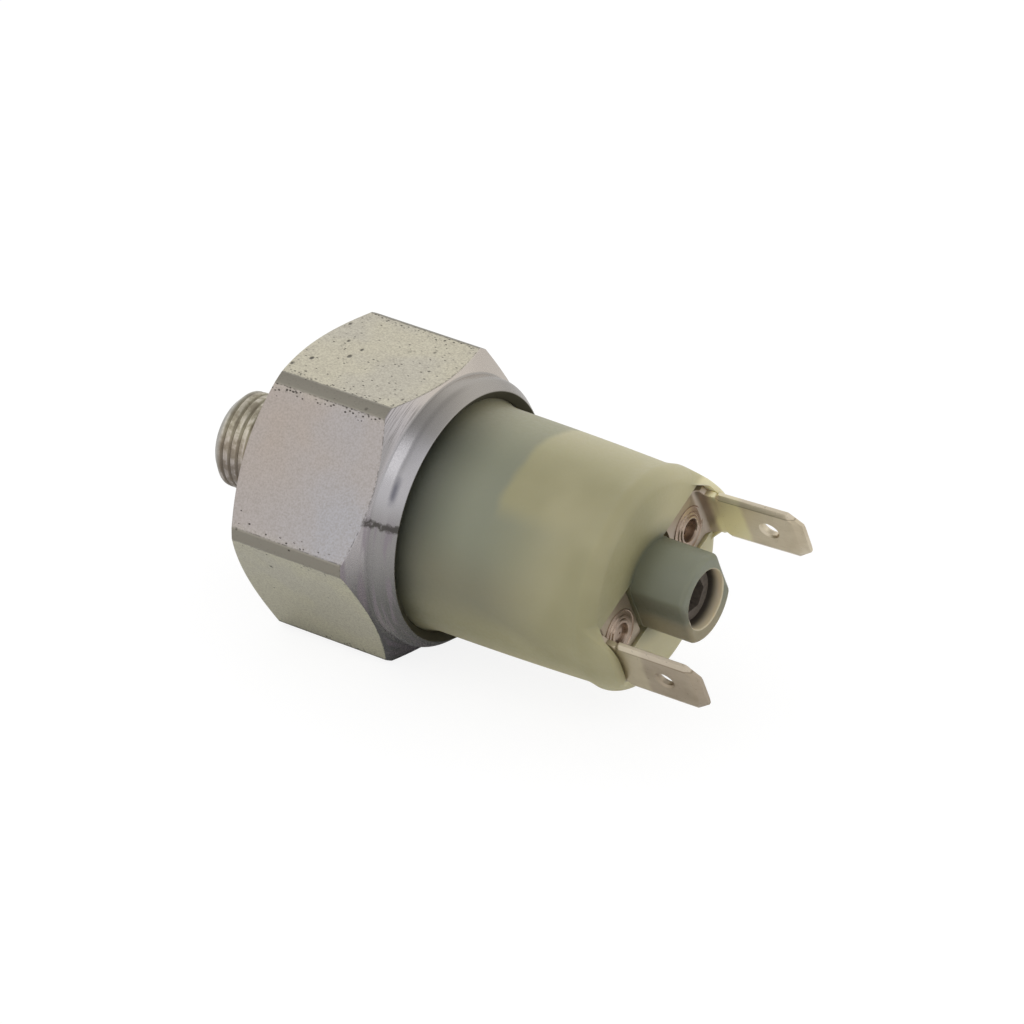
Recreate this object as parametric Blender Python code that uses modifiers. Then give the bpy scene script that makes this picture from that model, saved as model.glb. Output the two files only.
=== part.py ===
"""Oil pressure sender: a hexagon steel body with a taper stud, a crimped nylon cap and two blade terminals.

Units are metres. The sender lies on one flat of its hexagon, with its axis along +X.
Stations along the axis are counted from the hexagon's back corner edge, stud side negative.
"""
import math

import bmesh
import bpy

# Hexagon body
HEX_FLATS = 0.0270
HEX_CORNER_R = 0.01528
HEX_LENGTH = 0.01244
BACK_CHAMFER_DEG = 29.3
FRONT_CHAMFER_DEG = 31.9
SEAT_FACE_R = 0.0129

# Taper stud and pressure port
STUD_LENGTH = 0.00896
STUD_END_R = 0.00474
STUD_TAPER = 0.03125
STUD_CHAMFER = 0.0007
PORT_R = 0.0015
PORT_COUNTERSINK = 0.0005

# Collar that is rolled over the cap
COLLAR_STEP = 0.00013
COLLAR_LENGTH = 0.00107
LIP_WALL = 0.0011
LIP_BEND_R = 0.0012
LIP_BEND_DEG = 38.0
LIP_REACH = 0.00115

# Pressure chamber and seal in the body
DIAPHRAGM_SEAT = 0.0054
CHAMBER_R = 0.0050
CHAMBER_DEPTH = 0.0008
GROOVE_MARGIN = 0.0006
GROOVE_WIDTH = 0.0018
GROOVE_DEPTH = 0.0012
SEAL_WIRE_R = 0.00055

# Clamped stack
DIAPHRAGM_THICK = 0.0002
SUPPORT_THICK = 0.0015
SUPPORT_BORE_R = 0.0044
CUP_SHEET = 0.0008
CUP_OUTER_R = 0.0093
CUP_SIDE_GAP = 0.00015
CUP_HOLE_R = 0.0033
CUP_BEND_R = 0.0012
GASKET_THICK = 0.0008
GASKET_LEDGE = 0.00105

# Nylon cap
CAP_REACH = 0.02155
LIP_OPENING = 0.00036
CAP_WAIST_DROP = 0.00031
CAP_RIM_DROP = 0.00009
CAP_WAIST_BACK = 0.0030
FLARE_POWER = 1.6
TAPER_POWER = 2.2
CAP_RIM_ROUND = 0.00045
CAP_SKIRT_WALL = 0.00145
CAP_SKIRT_LENGTH = 0.0016
CAP_END_WALL = 0.0073
TERMINAL_TURN_DEG = 26.0

# Boss for the adjusting screw
BOSS_R = 0.0043
BOSS_FLATS = 0.0067
BOSS_HEIGHT = 0.0062
BOSS_ROUND = 0.00045
MOUTH_CHAMFER = 0.00025

# Lips outside the blades
FENCE_HALF_WIDTH = 0.0028
FENCE_INSET = 0.00007
FENCE_WALL = 0.00135
FENCE_ROUND = 0.0007
UPPER_FENCE_RISE = 0.0031
LOWER_FENCE_RISE = 0.0022
FENCE_FALL = 0.0009

# Blade terminals
BLADE_WIDTH = 0.0063
SHEET_THICK = 0.0008
BLADE_BEND_R = 0.0006
BOSS_TO_PLATE = 0.0004
PLATE_PROUD = 0.0005
NECK_WIDTH = 0.0055
NECK_LENGTH = 0.0019
SHOULDER_LENGTH = 0.0007
TIP_CHAMFER_LENGTH = 0.0014
TIP_WIDTH = 0.0040
TIP_THICK = 0.00045
EDGE_COIN = 0.00012
UPPER_BLADE_REACH = 0.0111
UPPER_BLADE_LEAN = 0.045
UPPER_HOLE_BACK = 0.0038
LOWER_BLADE_REACH = 0.0109
LOWER_BLADE_LEAN = -0.012
LOWER_HOLE_BACK = 0.0041
BLADE_HOLE_R = 0.00085

# Hollow rivets and contacts
RIVET_TO_BLADE = 0.00315
RIVET_SHANK_R = 0.00125
RIVET_ROLL_R = 0.00193
RIVET_ROLL_HEIGHT = 0.00055
RIVET_HEAD_R = 0.0019
RIVET_HEAD_THICK = 0.0010
RIVET_FLOOR_ROUND = 0.0003
RIVET_MOUTH_ROUND = 0.00015
UPPER_HOLLOW_R = 0.00095
UPPER_HOLLOW_DEPTH = 0.0026
LOWER_HOLLOW_R = 0.00045
LOWER_HOLLOW_DEPTH = 0.0008
CONTACT_R = 0.0016
CONTACT_THICK = 0.0005
CONTACT_GAP = 0.0009
CONTACT_SHANK_R = 0.0008
CONTACT_TAIL_R = 0.0012
CONTACT_TAIL_THICK = 0.0004

# Plunger and contact bridge
PLUNGER_HEAD_R = 0.0040
PLUNGER_HEAD_LENGTH = 0.0019
STEM_R = 0.0030
SPIGOT_R = 0.0017
SPIGOT_LENGTH = 0.0031
BRIDGE_END_MARGIN = 0.0020
BRIDGE_WIDTH = 0.0060
BRIDGE_THICK = 0.0008
BRIDGE_CORNER_R = 0.0010
CUP_TO_BRIDGE = 0.0012
WASHER_R = 0.0033
WASHER_THICK = 0.0005

# Range spring, its seat and the adjusting screw
SPRING_MEAN_R = 0.00275
SPRING_WIRE_R = 0.0004
SPRING_COILS = 5
SPRING_BORE_R = 0.0036
SPRING_SEAT_R = 0.0034
SPRING_SEAT_THICK = 0.0014
SEAT_PIP_R = 0.0018
SEAT_PIP_LENGTH = 0.0009
SCREW_R = 0.00288
SCREW_LENGTH = 0.0065
SCREW_SETBACK = 0.0014
SCREW_CHAMFER = 0.0004
SOCKET_FLATS = 0.0030
SOCKET_DEPTH = 0.0030
ADJUST_TRAVEL = 0.00075

# Clearances
SEAT_GAP = 0.0001
SIDE_GAP = 0.0001
HOLE_GAP = 0.00012
SEAL_GAP = 0.00005
TRAVEL_GAP = 0.00025
COIL_GAP = 0.00005

# How far a cutter runs past what it cuts
OVERRUN = 0.0010

# Facets
BODY_STEPS = 72
RING_STEPS = 32
SMALL_STEPS = 20
ARC_STEPS = 4
COIL_POINTS = 10
SEAL_POINTS = 6
BARREL_STEPS = 5
FLARE_STEPS = 2
WELD = 1e-7
SMOOTH_DEG = 35.0

# Radii that follow, from the guide cup outward
STRAIGHT = math.radians(90.0)
LIP_BEND = math.radians(LIP_BEND_DEG)
HALF_FLATS = HEX_FLATS / 2
CAP_BORE_R = CUP_OUTER_R + CUP_SIDE_GAP
STACK_R = CAP_BORE_R + CAP_SKIRT_WALL
STACK_BORE_R = STACK_R + SIDE_GAP
COUNTERBORE_R = STACK_BORE_R + GASKET_LEDGE
COLLAR_R = COUNTERBORE_R + LIP_WALL
GROOVE_OUTER_R = STACK_BORE_R - GROOVE_MARGIN
GROOVE_INNER_R = GROOVE_OUTER_R - GROOVE_WIDTH
BEND_CENTRE_R = COLLAR_R - LIP_BEND_R
LIP_END_R = BEND_CENTRE_R + (LIP_BEND_R - LIP_WALL) * math.cos(LIP_BEND) - LIP_REACH * math.sin(LIP_BEND)
CAP_ROOT_R = LIP_END_R - LIP_OPENING
CAP_WAIST_R = CAP_ROOT_R - CAP_WAIST_DROP
CAP_RIM_R = CAP_ROOT_R - CAP_RIM_DROP

# Offsets along the line of the terminals
FENCE_R = CAP_RIM_R - FENCE_INSET
BLADE_OUTER_U = FENCE_R - FENCE_WALL
RIVET_U = BLADE_OUTER_U - RIVET_TO_BLADE
PLATE_INNER_U = BOSS_FLATS / 2 + BOSS_TO_PLATE
BRIDGE_LENGTH = 2 * (RIVET_U + BRIDGE_END_MARGIN)

# Stations that follow along the axis
SEAT_FACE_X = -(HEX_CORNER_R - SEAT_FACE_R) * math.tan(math.radians(BACK_CHAMFER_DEG))
STUD_END_X = SEAT_FACE_X - STUD_LENGTH
COLLAR_X = HEX_LENGTH + (HEX_CORNER_R - COLLAR_R - COLLAR_STEP) * math.tan(math.radians(FRONT_CHAMFER_DEG))
BEND_X = COLLAR_X + COLLAR_LENGTH

DIAPHRAGM_X = DIAPHRAGM_SEAT + SEAT_GAP
SUPPORT_X = DIAPHRAGM_X + DIAPHRAGM_THICK + SEAT_GAP
CUP_X = SUPPORT_X + SUPPORT_THICK + SEAT_GAP
SKIRT_X = CUP_X + CUP_SHEET + SEAT_GAP
FLANGE_X = SKIRT_X + CAP_SKIRT_LENGTH
GASKET_X = FLANGE_X - SEAT_GAP - GASKET_THICK
SHOULDER_X = GASKET_X - SEAT_GAP

END_X = BEND_X + CAP_REACH
WALL_X = END_X - CAP_END_WALL
PLATE_TOP_X = END_X + PLATE_PROUD
PLATE_X = PLATE_TOP_X - SHEET_THICK
POCKET_X = PLATE_X - SEAT_GAP
MOUTH_X = END_X + BOSS_HEIGHT

RIVET_X = WALL_X - SEAT_GAP - RIVET_HEAD_THICK
FIXED_X = RIVET_X - SEAT_GAP - CONTACT_THICK
MOVING_X = FIXED_X - CONTACT_GAP - CONTACT_THICK
BRIDGE_X = MOVING_X - SEAT_GAP - BRIDGE_THICK
STEM_TOP_X = BRIDGE_X - SEAT_GAP
CUP_END_X = BRIDGE_X - CUP_TO_BRIDGE
WASHER_X = BRIDGE_X + BRIDGE_THICK + SEAT_GAP

SCREW_X = MOUTH_X - SCREW_SETBACK - SCREW_LENGTH
SPRING_SEAT_X = SCREW_X - SEAT_GAP - SPRING_SEAT_THICK
SPRING_TOP_X = SPRING_SEAT_X - SEAT_GAP
SPRING_X = WASHER_X + WASHER_THICK + SEAT_GAP
SPRING_BORE_END_X = SCREW_X - SEAT_GAP + ADJUST_TRAVEL + TRAVEL_GAP

TIP_X = END_X + PLATE_PROUD + max(UPPER_BLADE_REACH, LOWER_BLADE_REACH)
MIDDLE_X = (STUD_END_X + TIP_X) / 2


def clear_scene():
    """Empties the file that the script runs in."""
    for obj in list(bpy.data.objects):
        bpy.data.objects.remove(obj, do_unlink=True)


def new_collection(name):
    made = bpy.data.collections.new(name)
    bpy.context.scene.collection.children.link(made)
    return made


def new_material(name, colour, roughness, metallic):
    made = bpy.data.materials.new(name)
    made.use_nodes = True
    surface = made.node_tree.nodes["Principled BSDF"]
    surface.inputs["Base Color"].default_value = (*colour, 1.0)
    surface.inputs["Roughness"].default_value = roughness
    surface.inputs["Metallic"].default_value = metallic
    return made


clear_scene()
PARTS = new_collection("oil_pressure_sender")
CUTTERS = new_collection("cutters")

ZINC = new_material("zinc_plated_steel", (0.52, 0.49, 0.46), 0.38, 1.0)
NYLON = new_material("olive_nylon", (0.42, 0.44, 0.32), 0.45, 0.0)
TIN = new_material("tinned_brass", (0.50, 0.47, 0.42), 0.35, 1.0)
BLACK_STEEL = new_material("blackened_steel", (0.03, 0.03, 0.03), 0.40, 1.0)
BRIGHT_STEEL = new_material("bright_steel", (0.58, 0.58, 0.57), 0.30, 1.0)
PLATED_STEEL = new_material("dull_plated_steel", (0.30, 0.30, 0.28), 0.45, 1.0)
RUBBER = new_material("nitrile_rubber", (0.02, 0.02, 0.02), 0.80, 0.0)
SILVER = new_material("silver_contact", (0.80, 0.79, 0.76), 0.25, 1.0)
PHENOLIC = new_material("phenolic_board", (0.30, 0.14, 0.06), 0.60, 0.0)
BRONZE = new_material("phosphor_bronze", (0.60, 0.36, 0.20), 0.30, 1.0)


def place(obj, parent, material=None, turn=(0.0, 0.0, 0.0), at=(0.0, 0.0, 0.0)):
    """Puts an object under its parent. One without a material is a cutter."""
    (PARTS if material else CUTTERS).objects.link(obj)
    obj.parent = parent
    obj.rotation_euler = turn
    obj.location = at
    if material:
        obj.data.materials.append(material)
    else:
        obj.hide_render = True
        obj.display_type = "WIRE"
    return obj


def frame(name, parent=None, turn=(0.0, 0.0, 0.0), at=(0.0, 0.0, 0.0)):
    """An empty that other objects are placed by."""
    made = bpy.data.objects.new(name, None)
    PARTS.objects.link(made)
    made.parent = parent
    made.rotation_euler = turn
    made.location = at
    return made


def turned(name, profile, steps, parent, material=None, closed=True, turn=0.0):
    """Turns a profile of (radius, station) points about the local Z axis."""
    mesh = bpy.data.meshes.new(name)
    points = [(radius, 0.0, station) for radius, station in profile]
    edges = [(i, i + 1) for i in range(len(points) - 1)]
    if closed:
        edges.append((len(points) - 1, 0))
    mesh.from_pydata(points, edges, [])
    obj = place(bpy.data.objects.new(name, mesh), parent, material, (0.0, 0.0, turn))
    screw = obj.modifiers.new("turn", "SCREW")
    screw.axis = "Z"
    screw.steps = steps
    screw.render_steps = steps
    screw.use_merge_vertices = True
    screw.merge_threshold = WELD
    return obj


def arc(centre, radius, start_deg, end_deg, steps=ARC_STEPS):
    """Points along an arc, as (radius, station) pairs or as any other flat pair."""
    points = []
    for i in range(steps + 1):
        angle = math.radians(start_deg + (end_deg - start_deg) * i / steps)
        points.append((centre[0] + radius * math.cos(angle), centre[1] + radius * math.sin(angle)))
    return points


def circle(centre, radius, steps=SMALL_STEPS):
    return arc(centre, radius, 0.0, 360.0, steps)[:-1]


def mesh_of(obj):
    """The object's mesh as its modifiers leave it, with the seams welded."""
    bpy.context.view_layer.update()
    mesh = bpy.data.meshes.new_from_object(obj.evaluated_get(bpy.context.evaluated_depsgraph_get()))
    shape = bmesh.new()
    shape.from_mesh(mesh)
    bmesh.ops.remove_doubles(shape, verts=shape.verts, dist=WELD)
    shape.to_mesh(mesh)
    shape.free()
    return mesh


def plate(name, outlines, depth, parent, material=None, turn=(0.0, 0.0, 0.0), at=(0.0, 0.0, 0.0)):
    """A flat outline with its holes, given a depth about its own plane."""
    curve = bpy.data.curves.new(name, "CURVE")
    curve.dimensions = "2D"
    curve.fill_mode = "BOTH"
    curve.extrude = depth / 2
    curve.render_resolution_u = 0
    for outline in outlines:
        spline = curve.splines.new("POLY")
        spline.points.add(len(outline) - 1)
        for point, (across, along) in zip(spline.points, outline):
            point.co = (across, along, 0.0, 1.0)
        spline.use_cyclic_u = True
    drawn = bpy.data.objects.new(name, curve)
    CUTTERS.objects.link(drawn)
    mesh = mesh_of(drawn)
    bpy.data.objects.remove(drawn, do_unlink=True)
    return place(bpy.data.objects.new(name, mesh), parent, material, turn, at)


def block(name, near, far, parent):
    """A cutter box between two corners."""
    mesh = bpy.data.meshes.new(name)
    shape = bmesh.new()
    bmesh.ops.create_cube(shape, size=1.0)
    size = [b - a for a, b in zip(near, far)]
    bmesh.ops.scale(shape, vec=size, verts=shape.verts)
    shape.to_mesh(mesh)
    shape.free()
    middle = [(a + b) / 2 for a, b in zip(near, far)]
    return place(bpy.data.objects.new(name, mesh), parent, at=middle)


def round_bar(name, radius, low, high, sides, parent, end_radius=None, turn=0.0, at=(0.0, 0.0)):
    """A cylinder, cone or prism along the local Z axis."""
    mesh = bpy.data.meshes.new(name)
    shape = bmesh.new()
    last = radius if end_radius is None else end_radius
    bmesh.ops.create_cone(
        shape, cap_ends=True, segments=sides, radius1=radius, radius2=last, depth=high - low
    )
    shape.to_mesh(mesh)
    shape.free()
    made = bpy.data.objects.new(name, mesh)
    return place(made, parent, turn=(0.0, 0.0, turn), at=(*at, (low + high) / 2))


def hexagon_bar(name, flats, low, high, parent):
    """A hexagon prism with a corner on its local X axis."""
    corner = flats / 2 / math.cos(math.radians(30.0))
    return round_bar(name, corner, low, high, 6, parent, turn=math.radians(30.0))


def combine(obj, other, operation):
    step = obj.modifiers.new(other.name, "BOOLEAN")
    step.operation = operation
    step.solver = "EXACT"
    step.object = other


def soften(obj, width, segments, limit_deg):
    step = obj.modifiers.new("soften", "BEVEL")
    step.width = width
    step.segments = segments
    step.limit_method = "ANGLE"
    step.angle_limit = math.radians(limit_deg)


def lip_curves():
    """The rolled lip's outer and inner profile, each from the collar to the lip's end."""
    centre = (BEND_CENTRE_R, BEND_X)
    run = (-math.sin(LIP_BEND) * LIP_REACH, math.cos(LIP_BEND) * LIP_REACH)
    outer = arc(centre, LIP_BEND_R, 0.0, LIP_BEND_DEG)
    outer.append((outer[-1][0] + run[0], outer[-1][1] + run[1]))
    inner = arc(centre, LIP_BEND_R - LIP_WALL, 0.0, LIP_BEND_DEG, 1)
    inner.append((inner[-1][0] + run[0], inner[-1][1] + run[1]))
    return outer, inner


def build_body(axis):
    """The hexagon, stud, chamber and collar, turned in one piece and then milled to the flats."""
    outer, inner = lip_curves()
    stud_root_r = STUD_END_R + (STUD_LENGTH - STUD_CHAMFER) * STUD_TAPER
    port_mouth_r = PORT_R + PORT_COUNTERSINK
    groove_floor = DIAPHRAGM_SEAT - GROOVE_DEPTH
    chamber_floor = DIAPHRAGM_SEAT - CHAMBER_DEPTH
    profile = outer[::-1]
    profile += [(COLLAR_R, COLLAR_X + COLLAR_STEP), (COLLAR_R + COLLAR_STEP, COLLAR_X)]
    profile += [(HEX_CORNER_R, HEX_LENGTH), (HEX_CORNER_R, 0.0), (SEAT_FACE_R, SEAT_FACE_X)]
    profile += [(stud_root_r, SEAT_FACE_X), (STUD_END_R, STUD_END_X + STUD_CHAMFER)]
    profile += [(STUD_END_R - STUD_CHAMFER, STUD_END_X), (port_mouth_r, STUD_END_X)]
    profile += [(PORT_R, STUD_END_X + PORT_COUNTERSINK), (PORT_R, chamber_floor)]
    profile += [(CHAMBER_R, chamber_floor), (CHAMBER_R, DIAPHRAGM_SEAT)]
    profile += [(GROOVE_INNER_R, DIAPHRAGM_SEAT), (GROOVE_INNER_R, groove_floor)]
    profile += [(GROOVE_OUTER_R, groove_floor), (GROOVE_OUTER_R, DIAPHRAGM_SEAT)]
    profile += [(STACK_BORE_R, DIAPHRAGM_SEAT), (STACK_BORE_R, SHOULDER_X)]
    profile += [(COUNTERBORE_R, SHOULDER_X)] + inner
    body = turned("body", profile, BODY_STEPS, axis, ZINC, turn=math.pi / BODY_STEPS)
    flats = hexagon_bar("hexagon_cutter", HEX_FLATS, STUD_END_X - OVERRUN, END_X, axis)
    combine(body, flats, "INTERSECT")


def build_clamped_stack(axis):
    """What the cap clamps into the body: seal ring, diaphragm, support washer, guide cup and gasket."""
    ring_r = (GROOVE_INNER_R + GROOVE_OUTER_R) / 2
    ring_x = DIAPHRAGM_SEAT - GROOVE_DEPTH + SEAL_GAP + SEAL_WIRE_R
    section = circle((ring_r, ring_x), SEAL_WIRE_R, SEAL_POINTS)[::-1]
    turned("seal_ring", section, RING_STEPS, axis, RUBBER)

    top = DIAPHRAGM_X + DIAPHRAGM_THICK
    disc = [(0.0, top), (STACK_R, top), (STACK_R, DIAPHRAGM_X), (0.0, DIAPHRAGM_X)]
    turned("diaphragm", disc, RING_STEPS, axis, BRONZE, closed=False)

    top = SUPPORT_X + SUPPORT_THICK
    ring = [(STACK_R, top), (STACK_R, SUPPORT_X), (SUPPORT_BORE_R, SUPPORT_X), (SUPPORT_BORE_R, top)]
    turned("support_washer", ring, RING_STEPS, axis, BRIGHT_STEEL)

    build_guide_cup(axis)

    outer_r = COUNTERBORE_R - SIDE_GAP
    inner_r = STACK_BORE_R + SIDE_GAP
    top = GASKET_X + GASKET_THICK
    ring = [(outer_r, top), (outer_r, GASKET_X), (inner_r, GASKET_X), (inner_r, top)]
    turned("cap_gasket", ring, RING_STEPS, axis, RUBBER)


def build_guide_cup(axis):
    """A drawn steel cup whose flange is clamped and whose end guides the plunger."""
    inside_r = CUP_OUTER_R - CUP_SHEET
    inner_bend_r = CUP_BEND_R - CUP_SHEET
    bend = (CUP_OUTER_R - CUP_BEND_R, CUP_END_X - CUP_BEND_R)
    profile = [(CUP_HOLE_R, CUP_END_X)]
    profile += arc(bend, CUP_BEND_R, 90.0, 0.0)
    profile += [(CUP_OUTER_R, CUP_X + CUP_SHEET), (STACK_R, CUP_X + CUP_SHEET)]
    profile += [(STACK_R, CUP_X), (inside_r, CUP_X)]
    profile += arc(bend, inner_bend_r, 0.0, 90.0)
    profile += [(CUP_HOLE_R, CUP_END_X - CUP_SHEET)]
    turned("guide_cup", profile, RING_STEPS, axis, PLATED_STEEL)


def cap_outline():
    """The cap's outer profile, from the end face down to the shoulder under the rolled lip."""
    lip_line = lip_curves()[1]
    inset = (math.cos(LIP_BEND) * SEAT_GAP, math.sin(LIP_BEND) * SEAT_GAP)
    shoulder_top = (lip_line[-1][0] - inset[0], lip_line[-1][1] - inset[1])
    waist_x = END_X - CAP_WAIST_BACK
    corner = (CAP_RIM_R - CAP_RIM_ROUND, END_X - CAP_RIM_ROUND)
    points = arc(corner, CAP_RIM_ROUND, 90.0, 0.0, 3)
    for i in range(1, FLARE_STEPS + 1):
        share = 1 - i / FLARE_STEPS
        x = waist_x + (corner[1] - waist_x) * share
        points.append((CAP_WAIST_R + (CAP_RIM_R - CAP_WAIST_R) * share ** FLARE_POWER, x))
    for i in range(1, BARREL_STEPS + 1):
        share = 1 - i / BARREL_STEPS
        x = shoulder_top[1] + (waist_x - shoulder_top[1]) * share
        points.append((CAP_ROOT_R - (CAP_ROOT_R - CAP_WAIST_R) * share ** TAPER_POWER, x))
    flange_r = COUNTERBORE_R - SIDE_GAP
    rise = (shoulder_top[0] - flange_r) / math.tan(LIP_BEND)
    points += [shoulder_top, (flange_r, shoulder_top[1] + rise), (flange_r, FLANGE_X)]
    return points


def build_boss(turn_frame):
    """The round boss with two flats, as a body that the cap is joined to."""
    foot = END_X - OVERRUN
    boss = round_bar("boss", BOSS_R, foot, MOUTH_X, RING_STEPS, turn_frame)
    half = BOSS_FLATS / 2
    near = (-half, -BOSS_R - OVERRUN, foot - OVERRUN)
    far = (half, BOSS_R + OVERRUN, MOUTH_X + OVERRUN)
    combine(boss, block("boss_flats", near, far, turn_frame), "INTERSECT")
    soften(boss, BOSS_ROUND, 3, 50.0)
    return boss


def build_fence(name, side, rise):
    """A low nylon lip that backs one blade at its root, with a sloping top and rounded top corners."""
    inner_u = BLADE_OUTER_U - SHEET_THICK
    outer_u = FENCE_R + OVERRUN
    foot = END_X - OVERRUN
    top = END_X + rise
    outline = [(inner_u, foot), (outer_u, foot), (outer_u, top - FENCE_FALL), (FENCE_R, top - FENCE_FALL)]
    outline += [(BLADE_OUTER_U + SIDE_GAP, top), (inner_u, top)]
    fence = plate(name, [outline], 4 * FENCE_HALF_WIDTH, side, turn=(STRAIGHT, 0.0, 0.0))

    across = FENCE_HALF_WIDTH - FENCE_ROUND
    round_x = top - FENCE_ROUND
    front = [(-FENCE_HALF_WIDTH, foot - OVERRUN), (FENCE_HALF_WIDTH, foot - OVERRUN)]
    front += arc((across, round_x), FENCE_ROUND, 0.0, 90.0, 3)
    front += arc((-across, round_x), FENCE_ROUND, 90.0, 180.0, 3)
    upright = (STRAIGHT, 0.0, STRAIGHT)
    ends = plate(name + "_front", [front], 4 * FENCE_R, side, turn=upright)
    combine(fence, ends, "INTERSECT")
    rim = round_bar(name + "_rim", FENCE_R, foot - OVERRUN, top + OVERRUN, BODY_STEPS, side)
    combine(fence, rim, "INTERSECT")
    return fence


def build_cap(turn_frame, sides):
    """The nylon moulding: skirt, flange and barrel, with its boss, lips, pockets and holes."""
    pilot_r = SCREW_R / 2
    profile = [(pilot_r, END_X)] + cap_outline()
    profile += [(STACK_R, FLANGE_X), (STACK_R, SKIRT_X), (CAP_BORE_R, SKIRT_X)]
    profile += [(CAP_BORE_R, WALL_X), (SPRING_BORE_R, WALL_X)]
    profile += [(SPRING_BORE_R, SPRING_BORE_END_X), (pilot_r, SPRING_BORE_END_X)]
    cap = turned("cap", profile, BODY_STEPS, turn_frame, NYLON)
    combine(cap, build_boss(turn_frame), "UNION")
    rises = (UPPER_FENCE_RISE, LOWER_FENCE_RISE)
    for label, side, rise in zip(("upper", "lower"), sides, rises):
        combine(cap, build_fence(label + "_fence", side, rise), "UNION")
        half = BLADE_WIDTH / 2 + SIDE_GAP
        near = (PLATE_INNER_U - SIDE_GAP, -half, POCKET_X)
        far = (BLADE_OUTER_U + SIDE_GAP, half, MOUTH_X)
        combine(cap, block(label + "_pocket", near, far, side), "DIFFERENCE")
        hole_r = RIVET_SHANK_R + HOLE_GAP
        hole = round_bar(
            label + "_rivet_hole", hole_r, WALL_X - OVERRUN, END_X, SMALL_STEPS, side, at=(RIVET_U, 0.0)
        )
        combine(cap, hole, "DIFFERENCE")
    bore_r = SCREW_R + HOLE_GAP
    bore = round_bar(
        "screw_bore", bore_r, SPRING_BORE_END_X - OVERRUN / 2, MOUTH_X + OVERRUN, RING_STEPS, turn_frame
    )
    combine(cap, bore, "DIFFERENCE")
    low = MOUTH_X - MOUTH_CHAMFER
    wide = bore_r + MOUTH_CHAMFER + OVERRUN
    mouth = round_bar(
        "mouth_chamfer", bore_r, low, MOUTH_X + OVERRUN, RING_STEPS, turn_frame, end_radius=wide
    )
    combine(cap, mouth, "DIFFERENCE")


def build_terminal(name, side, reach, lean, hole_back):
    """A blade bent up from its riveted base plate, with a neck, a tapered tip and a hole."""
    outer_bend_r = BLADE_BEND_R + SHEET_THICK
    bend = (BLADE_OUTER_U - outer_bend_r, PLATE_X + outer_bend_r)
    inner_u = BLADE_OUTER_U - SHEET_THICK
    tip_x = PLATE_TOP_X + reach
    taper_x = tip_x - TIP_CHAMFER_LENGTH
    thin = (SHEET_THICK - TIP_THICK) / 2
    blade = [(BLADE_OUTER_U, taper_x), (BLADE_OUTER_U - thin, tip_x)]
    blade += [(inner_u + thin, tip_x), (inner_u, taper_x)]
    outline = [(PLATE_INNER_U, PLATE_X)] + arc(bend, outer_bend_r, -90.0, 0.0)
    outline += [(u + lean * (x - bend[1]), x) for u, x in blade]
    outline += arc(bend, BLADE_BEND_R, 0.0, -90.0) + [(PLATE_INNER_U, PLATE_TOP_X)]
    wide = BLADE_WIDTH + 2 * OVERRUN
    terminal = plate(name, [outline], wide, side, TIN, turn=(STRAIGHT, 0.0, 0.0))
    combine(terminal, blade_outline(name, side, tip_x, taper_x), "INTERSECT")

    hole_x = tip_x - hole_back
    reach_u = 3 * SHEET_THICK
    bar = round_bar(name + "_hole", BLADE_HOLE_R, -reach_u, reach_u, SMALL_STEPS, side)
    bar.rotation_euler = (0.0, STRAIGHT, 0.0)
    bar.location = (BLADE_OUTER_U, 0.0, hole_x)
    combine(terminal, bar, "DIFFERENCE")
    hole_r = RIVET_SHANK_R + HOLE_GAP
    low = POCKET_X - OVERRUN
    high = PLATE_TOP_X + OVERRUN
    bar = round_bar(name + "_rivet_hole", hole_r, low, high, SMALL_STEPS, side, at=(RIVET_U, 0.0))
    combine(terminal, bar, "DIFFERENCE")
    soften(terminal, EDGE_COIN, 1, 50.0)


def blade_outline(name, side, tip_x, taper_x):
    """The blade seen from outside, as a cutter that the bent strip is trimmed by."""
    half = BLADE_WIDTH / 2
    neck = NECK_WIDTH / 2
    neck_x = PLATE_TOP_X + BLADE_BEND_R
    narrowing = (half - TIP_WIDTH / 2) / TIP_CHAMFER_LENGTH
    over_half = TIP_WIDTH / 2 - narrowing * OVERRUN
    right = [(half, PLATE_X - OVERRUN), (half, neck_x), (neck, neck_x + half - neck)]
    right += [(neck, neck_x + NECK_LENGTH - SHOULDER_LENGTH), (half, neck_x + NECK_LENGTH)]
    right += [(half, taper_x), (over_half, tip_x + OVERRUN)]
    outline = right + [(-across, x) for across, x in reversed(right)]
    return plate(name + "_outline", [outline], 4 * BLADE_OUTER_U, side, turn=(STRAIGHT, 0.0, STRAIGHT))


def build_rivet(name, side, hollow_r, hollow_depth):
    """A hollow rivet: a flat head inside the cap and an end rolled over the terminal outside."""
    roll_x = PLATE_TOP_X + SEAT_GAP
    top = roll_x + RIVET_ROLL_HEIGHT
    floor = top - hollow_depth
    edge = RIVET_ROLL_HEIGHT / 2
    crown_r = (hollow_r + RIVET_ROLL_R) / 2
    profile = [(0.0, floor), (hollow_r - RIVET_FLOOR_ROUND, floor), (hollow_r, floor + RIVET_FLOOR_ROUND)]
    profile += [(hollow_r, top - edge), (hollow_r + RIVET_MOUTH_ROUND, top - RIVET_MOUTH_ROUND), (crown_r, top)]
    profile += arc((RIVET_ROLL_R - edge, roll_x + edge), edge, 75.0, -60.0)
    profile += [(RIVET_ROLL_R - edge, roll_x), (RIVET_SHANK_R, roll_x)]
    profile += [(RIVET_SHANK_R, RIVET_X + RIVET_HEAD_THICK), (RIVET_HEAD_R, RIVET_X + RIVET_HEAD_THICK)]
    profile += [(RIVET_HEAD_R, RIVET_X), (0.0, RIVET_X)]
    rivet = turned(name, profile, SMALL_STEPS, side, TIN, closed=False)
    rivet.location = (RIVET_U, 0.0, 0.0)


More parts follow.
